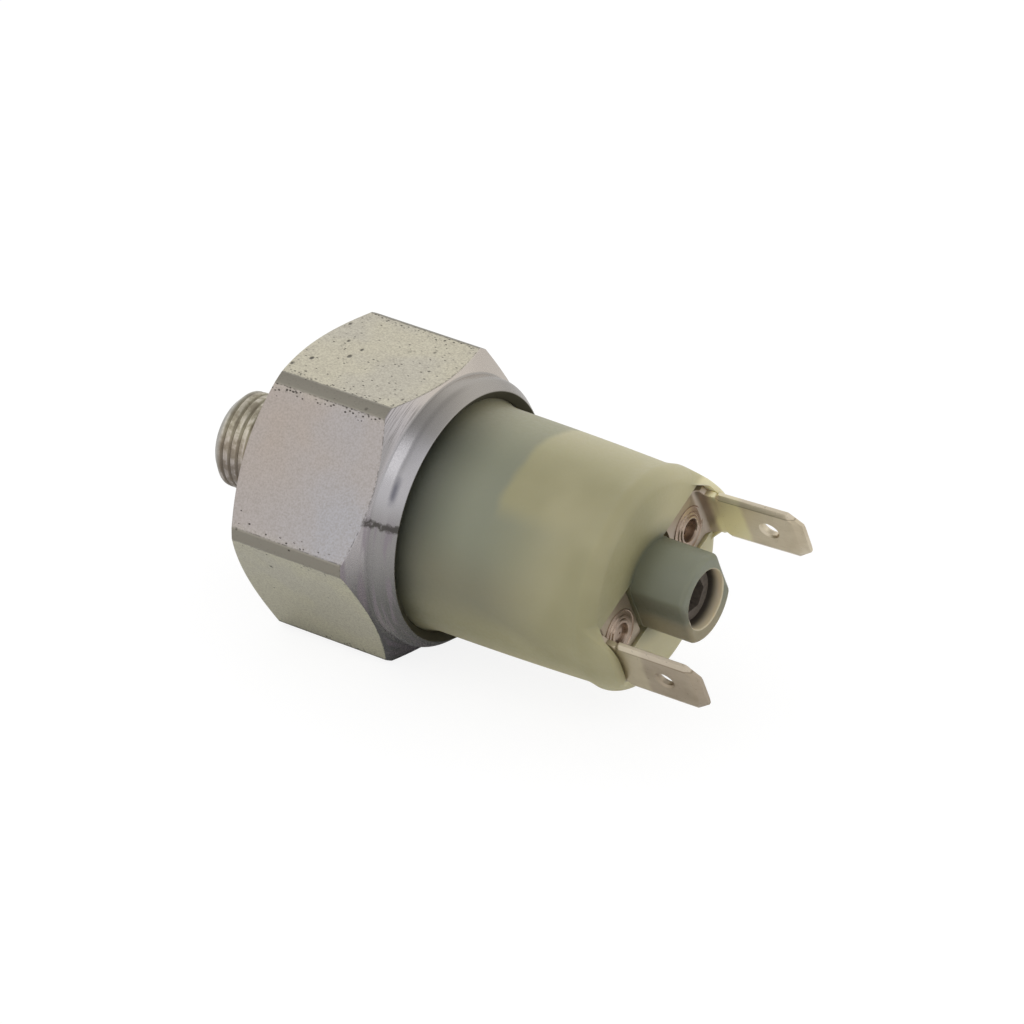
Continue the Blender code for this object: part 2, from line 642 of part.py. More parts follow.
def build_fixed_contact(name, side):
    """A silver tip on the rivet's inner head."""
    top = FIXED_X + CONTACT_THICK
    edge = CONTACT_THICK / 2
    profile = [(0.0, top), (CONTACT_R, top), (CONTACT_R, FIXED_X + edge)]
    profile += [(CONTACT_R - edge, FIXED_X), (0.0, FIXED_X)]
    contact = turned(name, profile, SMALL_STEPS, side, SILVER, closed=False)
    contact.location = (RIVET_U, 0.0, 0.0)


def build_moving_contact(name, side):
    """A silver button riveted through the bridge."""
    top = MOVING_X + CONTACT_THICK
    edge = CONTACT_THICK / 2
    tail_x = BRIDGE_X - SEAT_GAP
    profile = [(0.0, top), (CONTACT_R - edge, top), (CONTACT_R, top - edge), (CONTACT_R, MOVING_X)]
    profile += [(CONTACT_SHANK_R, MOVING_X), (CONTACT_SHANK_R, tail_x), (CONTACT_TAIL_R, tail_x)]
    profile += [(CONTACT_TAIL_R, tail_x - CONTACT_TAIL_THICK), (0.0, tail_x - CONTACT_TAIL_THICK)]
    contact = turned(name, profile, SMALL_STEPS, side, SILVER, closed=False)
    contact.location = (RIVET_U, 0.0, 0.0)


def build_plunger(axis):
    """The insulating plunger that the diaphragm pushes."""
    head_top = SUPPORT_X + PLUNGER_HEAD_LENGTH
    spigot_top = STEM_TOP_X + SPIGOT_LENGTH
    profile = [(0.0, spigot_top), (SPIGOT_R - SEAT_GAP, spigot_top), (SPIGOT_R, spigot_top - SEAT_GAP)]
    profile += [(SPIGOT_R, STEM_TOP_X), (STEM_R, STEM_TOP_X), (STEM_R, head_top)]
    profile += [(PLUNGER_HEAD_R, head_top), (PLUNGER_HEAD_R, SUPPORT_X), (0.0, SUPPORT_X)]
    turned("plunger", profile, RING_STEPS, axis, PHENOLIC, closed=False)


def build_bridge(turn_frame):
    """The contact bridge: a flat strip with a centre hole and a hole for each contact."""
    x = BRIDGE_LENGTH / 2 - BRIDGE_CORNER_R
    y = BRIDGE_WIDTH / 2 - BRIDGE_CORNER_R
    outline = arc((x, y), BRIDGE_CORNER_R, 0.0, 90.0) + arc((-x, y), BRIDGE_CORNER_R, 90.0, 180.0)
    outline += arc((-x, -y), BRIDGE_CORNER_R, 180.0, 270.0) + arc((x, -y), BRIDGE_CORNER_R, 270.0, 360.0)
    holes = [circle((0.0, 0.0), SPIGOT_R + HOLE_GAP)]
    holes += [circle((u, 0.0), CONTACT_SHANK_R + HOLE_GAP) for u in (-RIVET_U, RIVET_U)]
    middle = (0.0, 0.0, BRIDGE_X + BRIDGE_THICK / 2)
    plate("contact_bridge", [outline] + holes, BRIDGE_THICK, turn_frame, BRONZE, at=middle)


def build_insulating_washer(axis):
    """The washer that keeps the spring off the contact bridge."""
    bore_r = SPIGOT_R + HOLE_GAP
    top = WASHER_X + WASHER_THICK
    ring = [(WASHER_R, top), (WASHER_R, WASHER_X), (bore_r, WASHER_X), (bore_r, top)]
    turned("insulating_washer", ring, RING_STEPS, axis, PHENOLIC)


def spring_station(turns):
    """Height of the wire's middle after so many turns: closed end coils with an even pitch between."""
    closed_pitch = 2 * SPRING_WIRE_R + COIL_GAP
    low = SPRING_X + SPRING_WIRE_R
    high = SPRING_TOP_X - SPRING_WIRE_R
    open_pitch = (high - low - 2 * closed_pitch) / (SPRING_COILS - 2)
    if turns <= 1:
        return low + closed_pitch * turns
    if turns >= SPRING_COILS - 1:
        return high - closed_pitch * (SPRING_COILS - turns)
    return low + closed_pitch + open_pitch * (turns - 1)


def build_spring(axis):
    """The range spring, a coil of round wire."""
    curve = bpy.data.curves.new("range_spring", "CURVE")
    curve.dimensions = "3D"
    curve.bevel_depth = SPRING_WIRE_R
    curve.bevel_resolution = 2
    curve.use_fill_caps = True
    curve.render_resolution_u = 0
    count = SPRING_COILS * COIL_POINTS
    spline = curve.splines.new("POLY")
    spline.points.add(count)
    for i, point in enumerate(spline.points):
        turns = i / COIL_POINTS
        angle = 2 * math.pi * turns
        point.co = (SPRING_MEAN_R * math.cos(angle), SPRING_MEAN_R * math.sin(angle), spring_station(turns), 1.0)
    place(bpy.data.objects.new("range_spring", curve), axis, BRIGHT_STEEL)


def build_adjuster(axis):
    """The spring seat and the socket screw that sets it."""
    pip_x = SPRING_SEAT_X - SEAT_PIP_LENGTH
    top = SPRING_SEAT_X + SPRING_SEAT_THICK
    seat = [(0.0, top), (SPRING_SEAT_R, top), (SPRING_SEAT_R, SPRING_SEAT_X), (SEAT_PIP_R, SPRING_SEAT_X)]
    seat += [(SEAT_PIP_R, pip_x), (0.0, pip_x)]
    turned("spring_seat", seat, RING_STEPS, axis, BRIGHT_STEEL, closed=False)

    top = SCREW_X + SCREW_LENGTH
    inner_r = SCREW_R - SCREW_CHAMFER
    screw = [(0.0, top), (inner_r, top), (SCREW_R, top - SCREW_CHAMFER)]
    screw += [(SCREW_R, SCREW_X + SCREW_CHAMFER), (inner_r, SCREW_X), (0.0, SCREW_X)]
    made = turned("adjusting_screw", screw, RING_STEPS, axis, BLACK_STEEL, closed=False)
    socket = hexagon_bar("socket_cutter", SOCKET_FLATS, top - SOCKET_DEPTH, top + OVERRUN, axis)
    combine(made, socket, "DIFFERENCE")


def finish(obj):
    """Keeps the shape that the modifiers made and shades it smooth between its sharp edges."""
    shaped = mesh_of(obj)
    if obj.type == "CURVE":
        solid = bpy.data.objects.new(obj.name + "_solid", shaped)
        PARTS.objects.link(solid)
        solid.parent = obj.parent
        solid.matrix_world = obj.matrix_world
        name = obj.name
        bpy.data.objects.remove(obj, do_unlink=True)
        solid.name = name
    else:
        obj.modifiers.clear()
        obj.data = shaped
    shaped.shade_smooth()
    shaped.set_sharp_from_angle(angle=math.radians(SMOOTH_DEG))


def build_sender():
    axis = frame("sender_axis", None, (STRAIGHT, 0.0, STRAIGHT), (-MIDDLE_X, 0.0, HALF_FLATS))
    turn_frame = frame("cap_turn", axis, (0.0, 0.0, math.radians(TERMINAL_TURN_DEG)))
    upper = frame("upper_side", turn_frame)
    lower = frame("lower_side", turn_frame, (0.0, 0.0, math.pi))
    build_body(axis)
    build_clamped_stack(axis)
    build_cap(turn_frame, (upper, lower))
    build_terminal("terminal_upper", upper, UPPER_BLADE_REACH, UPPER_BLADE_LEAN, UPPER_HOLE_BACK)
    build_terminal("terminal_lower", lower, LOWER_BLADE_REACH, LOWER_BLADE_LEAN, LOWER_HOLE_BACK)
    build_rivet("rivet_upper", upper, UPPER_HOLLOW_R, UPPER_HOLLOW_DEPTH)
    build_rivet("rivet_lower", lower, LOWER_HOLLOW_R, LOWER_HOLLOW_DEPTH)
    for label, side in (("upper", upper), ("lower", lower)):
        build_fixed_contact("fixed_contact_" + label, side)
        build_moving_contact("moving_contact_" + label, side)
    build_plunger(axis)
    build_bridge(turn_frame)
    build_insulating_washer(axis)
    build_spring(axis)
    build_adjuster(axis)
    for obj in [o for o in PARTS.objects if o.type in {"MESH", "CURVE"}]:
        finish(obj)


build_sender()
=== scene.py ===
"""Looks for the oil pressure sender: fine meshes, procedural materials, a floor, soft light and the camera.

Units are metres. The sender's axis runs along +X, HALF_FLATS above the floor. Stations along the axis are
counted from the hexagon's back corner edge, and angles about it from +Y towards +Z.
"""

import math

import bmesh
import bpy
import numpy as np
from mathutils import Matrix, Vector


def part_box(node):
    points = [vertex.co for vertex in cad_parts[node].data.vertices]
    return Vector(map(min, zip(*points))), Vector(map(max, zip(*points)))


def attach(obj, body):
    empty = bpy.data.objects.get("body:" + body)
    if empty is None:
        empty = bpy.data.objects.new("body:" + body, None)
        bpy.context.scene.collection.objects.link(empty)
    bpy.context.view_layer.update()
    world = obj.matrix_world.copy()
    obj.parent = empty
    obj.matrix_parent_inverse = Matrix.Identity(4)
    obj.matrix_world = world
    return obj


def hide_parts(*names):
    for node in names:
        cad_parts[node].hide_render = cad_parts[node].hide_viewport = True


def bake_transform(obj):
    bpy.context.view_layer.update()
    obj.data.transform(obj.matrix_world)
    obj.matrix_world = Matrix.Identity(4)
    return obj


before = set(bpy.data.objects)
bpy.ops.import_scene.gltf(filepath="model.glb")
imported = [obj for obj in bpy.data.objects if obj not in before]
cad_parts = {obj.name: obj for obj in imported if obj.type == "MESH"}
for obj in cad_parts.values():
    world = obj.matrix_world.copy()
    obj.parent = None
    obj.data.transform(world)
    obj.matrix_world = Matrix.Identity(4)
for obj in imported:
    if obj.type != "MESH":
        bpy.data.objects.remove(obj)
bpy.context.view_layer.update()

# Camera, as fitted to the photograph
AZIMUTH_DEG = 34.20
ELEVATION_DEG = 29.90
ROLL_DEG = 0.475
DISTANCE = 0.57756
TARGET = (0.002227, 0.0, 0.015578)
SENSOR = 36.0
LENS = 219.22

# Hexagon body
HEX_FLATS = 0.0270
HEX_CORNER_R = 0.01528
HEX_LENGTH = 0.01244
BACK_CHAMFER_DEG = 29.3
FRONT_CHAMFER_DEG = 31.9
SEAT_FACE_R = 0.0129
EDGE_EASE = 0.00005

# Inside of the body, from the port to the counterbore
CHAMBER_R = 0.0050
CHAMBER_DEPTH = 0.0008
GROOVE_INNER_R = 0.00860
GROOVE_OUTER_R = 0.01040
GROOVE_DEPTH = 0.0012
DIAPHRAGM_SEAT = 0.0054
STACK_BORE_R = 0.01100
SHOULDER_X = 0.0089

# Stud
STUD_LENGTH = 0.00896
STUD_END_R = 0.00474
STUD_TAPER = 0.03125
STUD_CHAMFER = 0.0007
THREAD_PITCH = 0.000907
THREAD_DEPTH = 0.00013
GROOVE_POWER = 3.0
PORT_R = 0.0015
PORT_COUNTERSINK = 0.0005

# Collar and rolled lip
COLLAR_R = 0.01315
COLLAR_STEP = 0.00013
LIP_WALL = 0.0011
LIP_BEND_R = 0.0012
LIP_BEND_DEG = 38.0
LIP_REACH = 0.00115
COLLAR_LENGTH = 0.00107

# Nylon cap
CAP_REACH = 0.02155
CAP_ROOT_R = 0.01096
CAP_WAIST_R = 0.01065
CAP_RIM_R = 0.01087
CAP_WAIST_BACK = 0.0030
CAP_RIM_ROUND = 0.0014
CAP_FOOT_RISE = 0.00030
CAP_FOOT_LENGTH = 0.0018
LAND_RISE = 0.00065
CHANNEL_HALF_WIDTH = 0.00335
CHANNEL_DEPTH = 0.0003
CUP_STATION = 0.0249
TERMINAL_TURN_DEG = 26.0
BOSS_R = 0.0043
BOSS_FLATS = 0.0067
BOSS_HEIGHT = 0.0062
BOSS_ROUND = 0.00045
BOSS_ROOT_ROUND = 0.00005
BOSS_BLEND = 0.00025
BORE_R = 0.0029
BORE_ROUND = 0.00015
BORE_DEPTH = 0.0070
FENCE_HALF_DEG = 26.5
FENCE_POWER = 3.2
FENCE_RISE = 0.0029
FENCE_ROUND = 0.00055
FENCE_DRAFT = 0.0004
FENCE_TO_BLADE = 0.00004

# Blade terminals
BLADE_WIDTH = 0.0063
SHEET_THICK = 0.0008
BLADE_OUTER_U = 0.00945
BLADE_BEND_R = 0.0006
PLATE_INNER_U = 0.00375
PLATE_PROUD = 0.0005
NECK_WIDTH = 0.0055
NECK_LENGTH = 0.0019
SHOULDER_LENGTH = 0.0004
TIP_CHAMFER_LENGTH = 0.0014
TIP_WIDTH = 0.0040
TIP_THICK = 0.00045
EDGE_COIN = 0.00050
COIN_DEPTH = 0.00020
BLADE_HOLE_R = 0.00085
BLADE_HOLE_EASE = 0.0002
# Label, side of the axis, reach past the plate, lean, and the hole's distance from the tip
BLADES = (("upper", 1, 0.0111, 0.045, 0.0038), ("lower", -1, 0.0109, -0.012, 0.0041))

# Rivets
RIVET_U = 0.0063
RIVET_FLANGE_R = 0.00235
RIVET_STEP_R = 0.00175
RIVET_ROLL_R = 0.00145
RIVET_ROLL_HEIGHT = 0.00026
RIVET_SHANK_R = 0.00136
RIVET_HOLE_R = 0.00130
# Label, side of the axis, and the hollow's radius, its depth and the height of its domed floor
RIVETS = (("upper", 1, 0.00112, 0.00072, 0.00016), ("lower", -1, 0.00102, 0.00016, 0.00020))

# Range spring
SPRING_MEAN_R = 0.00275
SPRING_WIRE_R = 0.0004
SPRING_COILS = 5
SPRING_END_PITCH = 2 * SPRING_WIRE_R + 0.00005

# Zinc plate's tints and marks, with painted highlight, painted shade and painted reflection
ZINC_TOP = (211, 205, 184)
ZINC_NEAR = (184, 172, 163)
ZINC_LOW = (196, 193, 173)
ZINC_LOW_FRONT = (212, 209, 187)
ZINC_LILAC = (180, 178, 182)
ZINC_STRIP = (146, 142, 131)
ZINC_TURNED = (186, 181, 182)
# Painted shade on the collar and lip, and over the lamp's reflection on the cone
ZINC_COLLAR_SHADE = (128, 127, 124)
ZINC_PLUM = (146, 137, 144)
# Painted light on the top of the cone, collar and lip
ZINC_LIT_TOP = (208, 198, 186)
# Painted highlight band round the lip and collar
ZINC_PAINTED_HIGHLIGHT = (200, 198, 204)
ZINC_STREAK = (84, 84, 96)
# Painted shade on the lip's end face by the gap
ZINC_GAP_SHADE = (98, 95, 80)
# Painted shade low down on the cone, collar and lip
ZINC_SHADED_LOW = (114, 113, 113)
ZINC_GRAIN = (150, 142, 132)
ZINC_PIT = (58, 55, 48)
# Painted light on the thread's top, and painted shade on its lower side
THREAD_LIT_TOP = (178, 172, 150)
THREAD_PALE = (168, 157, 140)
THREAD_SHADED_LOW = (140, 132, 124)
THREAD_GRIME = (132, 120, 106)
THREAD_ROOT = (96, 86, 72)
# Painted glint beside the thread's crests
THREAD_PAINTED_GLINT = (224, 214, 208)
THREAD_END = (190, 188, 182)
SMEAR_ANGLE = 161.0
STREAK_ANGLE = 145.5
STREAK_X = 0.0153

# Nylon's tints, with its boss and bore, and painted light and shade
NYLON_SHADE = (50, 52, 42)
# Painted shadow where the steel cup lies under the nylon
NYLON_CUP_SHADOW = (128, 130, 110)
NYLON_BROWN = (120, 114, 90)
NYLON_PALE = (160, 154, 120)
NYLON_DEEP = (148, 143, 108)
# Painted light on the barrel's far top and bottom sides
NYLON_EDGE_LIGHT = (194, 187, 152)
# Painted light on the upper lip
NYLON_LIP_LIGHT = (222, 214, 178)
BOSS_TINT = (114, 117, 101)
# Painted light on the boss's top
BOSS_LIT_TOP = (132, 135, 118)
BOSS_SHADE = (98, 99, 84)
BOSS_UNDER = (142, 132, 106)
# Painted shade at the boss's foot and on the land round it
BOSS_FOOT_SHADE = (88, 88, 66)
# Painted light at the bore's mouth, and painted shade deeper in
BORE_LIT = (206, 194, 168)
BORE_SHADE = (66, 60, 52)

# Tinned blades: painted lighter on the upper and darker on the lower, with painted reflection, shade and
# highlight
# Painted reflection of the nylon on the blades' roots
TIN_NYLON_REFLECTION = (254, 247, 206)
# Painted shade on the terminal's plate
TIN_PLATE_SHADE = (170, 156, 142)
# Painted highlight on the coined edges, with a painted dark line inside it
TIN_EDGE_HIGHLIGHT = (232, 220, 200)
TIN_EDGE_LINE_SHADE = (120, 106, 88)
TIN_SPECK = (96, 84, 70)
# Lit and shaded copies of one tin: the upper blade painted lighter, the lower painted darker
TIN_LIT_UPPER = (226, 214, 190)
TIN_LIT_UPPER_DARK = (196, 180, 152)
TIN_SHADED_LOWER = (180, 166, 146)
TIN_SHADED_LOWER_DARK = (150, 136, 115)
RIVET_PALE = (196, 176, 158)
RIVET_DARK = (112, 92, 78)
TIN_METALLIC = 0.85

# The studio's brightness in reflections, by the height of the direction from straight down to straight up
SKY = ((-1.0, 0.40), (-0.05, 0.55), (0.10, 0.90), (0.50, 1.00), (0.85, 0.62), (1.0, 0.50))
AMBIENT = 0.92
FLOOR_SHADE = 0.86
FLOOR_GLOSS_SHADE = 0.80
FLOOR_GLOW = 0.80
FLOOR_GLOW_STRENGTH = 1.08
FLOOR_HALF = 3.0
KEY_PLACE = (-0.35, -0.45, 0.80)
KEY_SIZE = 0.5
KEY_POWER = 0.6

# How finely the meshes are divided, and the small values that close and weld them
STUD_COLUMNS = 240
THREAD_STEPS = 14
BOSS_COLUMNS = 192
RIVET_COLUMNS = 72
HOLE_COLUMNS = 64
SPRING_SIDES = 14
SPRING_STEPS = 40
POLE_R = 0.00001
WELD = 1e-7

# Values that follow
MM = 0.001
HALF_FLATS = HEX_FLATS / 2
TURN = math.radians(TERMINAL_TURN_DEG)
LIP_BEND = math.radians(LIP_BEND_DEG)
LIP_END_R = COLLAR_R - LIP_BEND_R + LIP_BEND_R * math.cos(LIP_BEND) - LIP_REACH * math.sin(LIP_BEND)
SEAT_FACE_X = -(HEX_CORNER_R - SEAT_FACE_R) * math.tan(math.radians(BACK_CHAMFER_DEG))
STUD_END_X = SEAT_FACE_X - STUD_LENGTH
COLLAR_X = HEX_LENGTH + (HEX_CORNER_R - COLLAR_R - COLLAR_STEP) * math.tan(math.radians(FRONT_CHAMFER_DEG))
BEND_X = COLLAR_X + COLLAR_LENGTH
END_X = BEND_X + CAP_REACH
PLATE_TOP_X = END_X + PLATE_PROUD
MOUTH_X = END_X + BOSS_HEIGHT
LAND_X = END_X + LAND_RISE
SHIFT_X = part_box("body")[0].x - STUD_END_X


def ring_angles():
    """Angles round the hexagon, close together at the edges of the corner strips."""
    edge = math.degrees(math.acos(HALF_FLATS / HEX_CORNER_R))
    ease = math.degrees(EDGE_EASE / HEX_CORNER_R)
    inner = np.linspace(-(edge - 2 * ease), edge - 2 * ease, 33)
    strip = [edge - ease, edge, edge + ease, (edge + 30.0) / 2]
    offsets = sorted(list(inner) + strip + [-s for s in strip] + [30.0])
    return np.radians([30.0 + 60.0 * k + o for k in range(6) for o in offsets])


def world_points(radius, angle, station):
    """Arrays of points on the sender, from radius, angle about the axis and station."""
    x = np.broadcast_to(station + SHIFT_X, radius.shape)
    return np.stack([x, radius * np.cos(angle), HALF_FLATS + radius * np.sin(angle)], axis=-1)


def new_mesh(name, points, faces):
    mesh = bpy.data.meshes.new(name)
    mesh.from_pydata(points, [], faces)
    return mesh


def grid_mesh(name, points, along=False):
    """A mesh from a grid of points: rows along the profile, columns around. Along closes the rows too."""
    rows, columns = points.shape[:2]
    index = np.arange(rows * columns).reshape(rows, columns)
    index = np.concatenate([index, index[:, :1]], axis=1)
    if along:
        index = np.concatenate([index, index[:1]], axis=0)
    quads = np.stack([index[:-1, :-1], index[1:, :-1], index[1:, 1:], index[:-1, 1:]], axis=-1)
    return new_mesh(name, points.reshape(-1, 3).tolist(), quads.reshape(-1, 4).tolist())


def quarter(steps, first=0):
    """One less the cosine, and one less the sine, of each step of a quarter turn."""
    turns = [math.radians(90.0 * k / steps) for k in range(first, steps + 1)]
    return [(1 - math.cos(t), 1 - math.sin(t)) for t in turns]


def profile_mesh(name, rows_at, angles, along=False):
    """A mesh whose profile changes round the axis: rows_at gives its rows at an angle."""
    rows = np.array([rows_at(a) for a in angles]).transpose(1, 0, 2)
    return grid_mesh(name, world_points(rows[:, :, 0], angles[None, :], rows[:, :, 1]), along)


def turned_points(rows, angles):
    """Points of one profile round the axis. A row's radius is one number, or one for each angle."""
    radius = np.array([r * np.ones(len(angles)) for r, x in rows])
    station = np.array([x for r, x in rows])[:, None]
    return world_points(radius, angles[None, :], station)


def tidy(mesh, smooth_deg):
    """Welds seams, points the faces outward and shades smooth between sharp edges."""
    shape = bmesh.new()
    shape.from_mesh(mesh)
    bmesh.ops.remove_doubles(shape, verts=shape.verts, dist=WELD)
    bmesh.ops.dissolve_degenerate(shape, edges=shape.edges, dist=WELD)
    bmesh.ops.recalc_face_normals(shape, faces=shape.faces)
    shape.to_mesh(mesh)
    shape.free()
    mesh.shade_smooth()
    mesh.set_sharp_from_angle(angle=math.radians(smooth_deg))
    return mesh


def new_object(name, data):
    obj = bpy.data.objects.new(name, data)
    bpy.context.scene.collection.objects.link(obj)
    return obj


def add_object(name, mesh, material):
    """Links a new object with one material."""
    obj = new_object(name, mesh)
    mesh.materials.clear()
    mesh.materials.append(material)
    return obj


def show(name, mesh, material, node):
    """Adds a piece on the housing that stands for a CAD node."""
    obj = add_object(name, mesh, material)
    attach(obj, "housing")
    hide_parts(node)


def fillet(points, radii, steps=5):
    """A polyline of flat points with its corners rounded."""
    out = [points[0]]
    for i in range(1, len(points) - 1):
        a, b, c = (np.array(points[k], float) for k in (i - 1, i, i + 1))
        ra = a - b
        rc = c - b
        ra /= np.linalg.norm(ra)
        rc /= np.linalg.norm(rc)
        angle = math.acos(max(-1.0, min(1.0, float(ra @ rc))))
        radius = radii[i]
        if radius <= 0 or angle > math.radians(176.0):
            out.append(points[i])
            continue
        cut = radius / math.tan(angle / 2)
        middle = (ra + rc) / np.linalg.norm(ra + rc)
        centre = b + middle * radius / math.sin(angle / 2)
        start = b + ra * cut - centre
        finish = b + rc * cut - centre
        sweep = math.pi - angle
        for k in range(steps + 1):
            t = k / steps
            mix = (math.sin((1 - t) * sweep) * start + math.sin(t * sweep) * finish) / math.sin(sweep)
            out.append(tuple(centre + mix))
    out.append(points[-1])
    return out


def line(first, last, shares):
    """Points at shares of the way along a straight line."""
    return [(first[0] + (last[0] - first[0]) * s, first[1] + (last[1] - first[1]) * s) for s in shares]


def between(first, last, count):
    """Points spread along a straight line, without its ends."""
    return line(first, last, np.linspace(0.0, 1.0, count + 2)[1:-1])


def body_rows(angle):
    """The body's (radius, station) rows at one angle, from inside the lip over the hexagon and back."""
    beta = math.degrees(angle) % 60.0 - 30.0
    edge_r = min(HALF_FLATS / math.cos(math.radians(beta)), HEX_CORNER_R)
    front = math.radians(FRONT_CHAMFER_DEG)
    back = math.radians(BACK_CHAMFER_DEG)
    cross_x = HEX_LENGTH + (HEX_CORNER_R - edge_r) * math.tan(front)
    back_x = -(HEX_CORNER_R - edge_r) * math.tan(back)
    rows = LIP_ROWS + between(LIP_ROWS[-1], (edge_r, cross_x), 14)
    rows.append((edge_r - EDGE_EASE * math.cos(front), cross_x + EDGE_EASE * math.sin(front)))
    rows.append((edge_r, cross_x - EDGE_EASE))
    rows += between((edge_r, cross_x), (edge_r, back_x), 16)
    rows.append((edge_r, back_x + EDGE_EASE))
    rows.append((edge_r - EDGE_EASE * math.cos(back), back_x - EDGE_EASE * math.sin(back)))
    rows += between((edge_r, back_x), (SEAT_FACE_R, SEAT_FACE_X), 12)
    rows.append((SEAT_FACE_R + EDGE_EASE, SEAT_FACE_X + EDGE_EASE * math.tan(back)))
    rows.append((SEAT_FACE_R - EDGE_EASE, SEAT_FACE_X))
    rows += between(rows[-1], (STUD_END_R, SEAT_FACE_X), 4)
    floor_x = DIAPHRAGM_SEAT - CHAMBER_DEPTH
    groove_x = DIAPHRAGM_SEAT - GROOVE_DEPTH
    rows += [(STUD_END_R - THREAD_DEPTH, SEAT_FACE_X), (PORT_R, SEAT_FACE_X), (PORT_R, floor_x)]
    rows += [(CHAMBER_R, floor_x), (CHAMBER_R, DIAPHRAGM_SEAT), (GROOVE_INNER_R, DIAPHRAGM_SEAT)]
    rows += [(GROOVE_INNER_R, groove_x), (GROOVE_OUTER_R, groove_x), (GROOVE_OUTER_R, DIAPHRAGM_SEAT)]
    rows += [(STACK_BORE_R, DIAPHRAGM_SEAT), (STACK_BORE_R, SHOULDER_X)]
    return rows + [(COLLAR_R - LIP_WALL, SHOULDER_X)]


def lip_rows():
    """Rows from the counterbore over the rolled lip and down the collar to the foot of the cone."""
    inner_end_r = LIP_END_R - LIP_WALL * math.cos(LIP_BEND)
    inner_end_x = BEND_X + (LIP_BEND_R - LIP_WALL) * math.sin(LIP_BEND) + LIP_REACH * math.cos(LIP_BEND)
    outer_end_x = inner_end_x + LIP_WALL * math.sin(LIP_BEND)
    corner_x = outer_end_x - (COLLAR_R - LIP_END_R) / math.tan(LIP_BEND)
    bore_r = COLLAR_R - LIP_WALL
    bore_corner_x = inner_end_x - (bore_r - inner_end_r) / math.tan(LIP_BEND)
    foot_x = COLLAR_X - COLLAR_STEP * math.tan(math.radians(FRONT_CHAMFER_DEG))
    points = [(bore_r, COLLAR_X - 3 * COLLAR_LENGTH), (bore_r, bore_corner_x), (inner_end_r, inner_end_x)]
    points += [(LIP_END_R, outer_end_x), (COLLAR_R, corner_x), (COLLAR_R, COLLAR_X + COLLAR_STEP)]
    points += [(COLLAR_R + COLLAR_STEP, COLLAR_X), (COLLAR_R + 2 * COLLAR_STEP, foot_x)]
    radii = [0.0, 0.00010, 0.00006, 0.00016, LIP_BEND_R, 0.00008, 0.00004, 0.0]
    return fillet(points, radii)[:-1]


LIP_ROWS = lip_rows()


def body_mesh():
    return tidy(profile_mesh("hexagon_shell", body_rows, ring_angles(), along=True), 22.0)


def stud_mesh():
    """The taper thread, its end chamfer and the port."""
    angles = np.arange(STUD_COLUMNS) * 2 * math.pi / STUD_COLUMNS
    turns = angles / (2 * math.pi)
    root_x = SEAT_FACE_X + 0.2 * MM
    end_r = STUD_END_R - STUD_CHAMFER
    rows = []
    for x in np.arange(root_x, STUD_END_X, -THREAD_PITCH / THREAD_STEPS):
        crest = STUD_END_R + (x - STUD_END_X - STUD_CHAMFER) * STUD_TAPER
        groove = (0.5 - 0.5 * np.cos(2 * math.pi * (x / THREAD_PITCH - turns))) ** GROOVE_POWER
        runout = min(1.0, max(0.0, (SEAT_FACE_X - x) / THREAD_PITCH))
        radius = crest - THREAD_DEPTH * groove * (0.35 + 0.65 * runout)
        rows.append((np.minimum(radius, end_r + x - STUD_END_X), x))
    points = [(end_r, STUD_END_X), (PORT_R + PORT_COUNTERSINK, STUD_END_X)]
    points += [(PORT_R, STUD_END_X + PORT_COUNTERSINK), (PORT_R, root_x)]
    rows += fillet(points, [0.0, 0.0001, 0.0001, 0.0], 3)
    return tidy(grid_mesh("stud_thread", turned_points(rows, angles), along=True), 45.0)


def rivet_mesh(name, rows, centre_u):
    """A turned mesh about a rivet's line, at centre_u along the terminals."""
    angles = TURN + np.arange(RIVET_COLUMNS) * 2 * math.pi / RIVET_COLUMNS
    points = turned_points(rows, angles)
    points[..., 1] += centre_u * math.cos(TURN)
    points[..., 2] += centre_u * math.sin(TURN)
    return tidy(closed(grid_mesh(name, points)), 35.0)


def fence_share(angle):
    """How much of a blade's nylon lip stands at an angle about the axis, from 0 between the lips to 1."""
    offset = (math.degrees(angle - TURN) + 90.0) % 180.0 - 90.0
    return max(0.0, 1.0 - abs(offset / FENCE_HALF_DEG) ** FENCE_POWER) ** 1.5


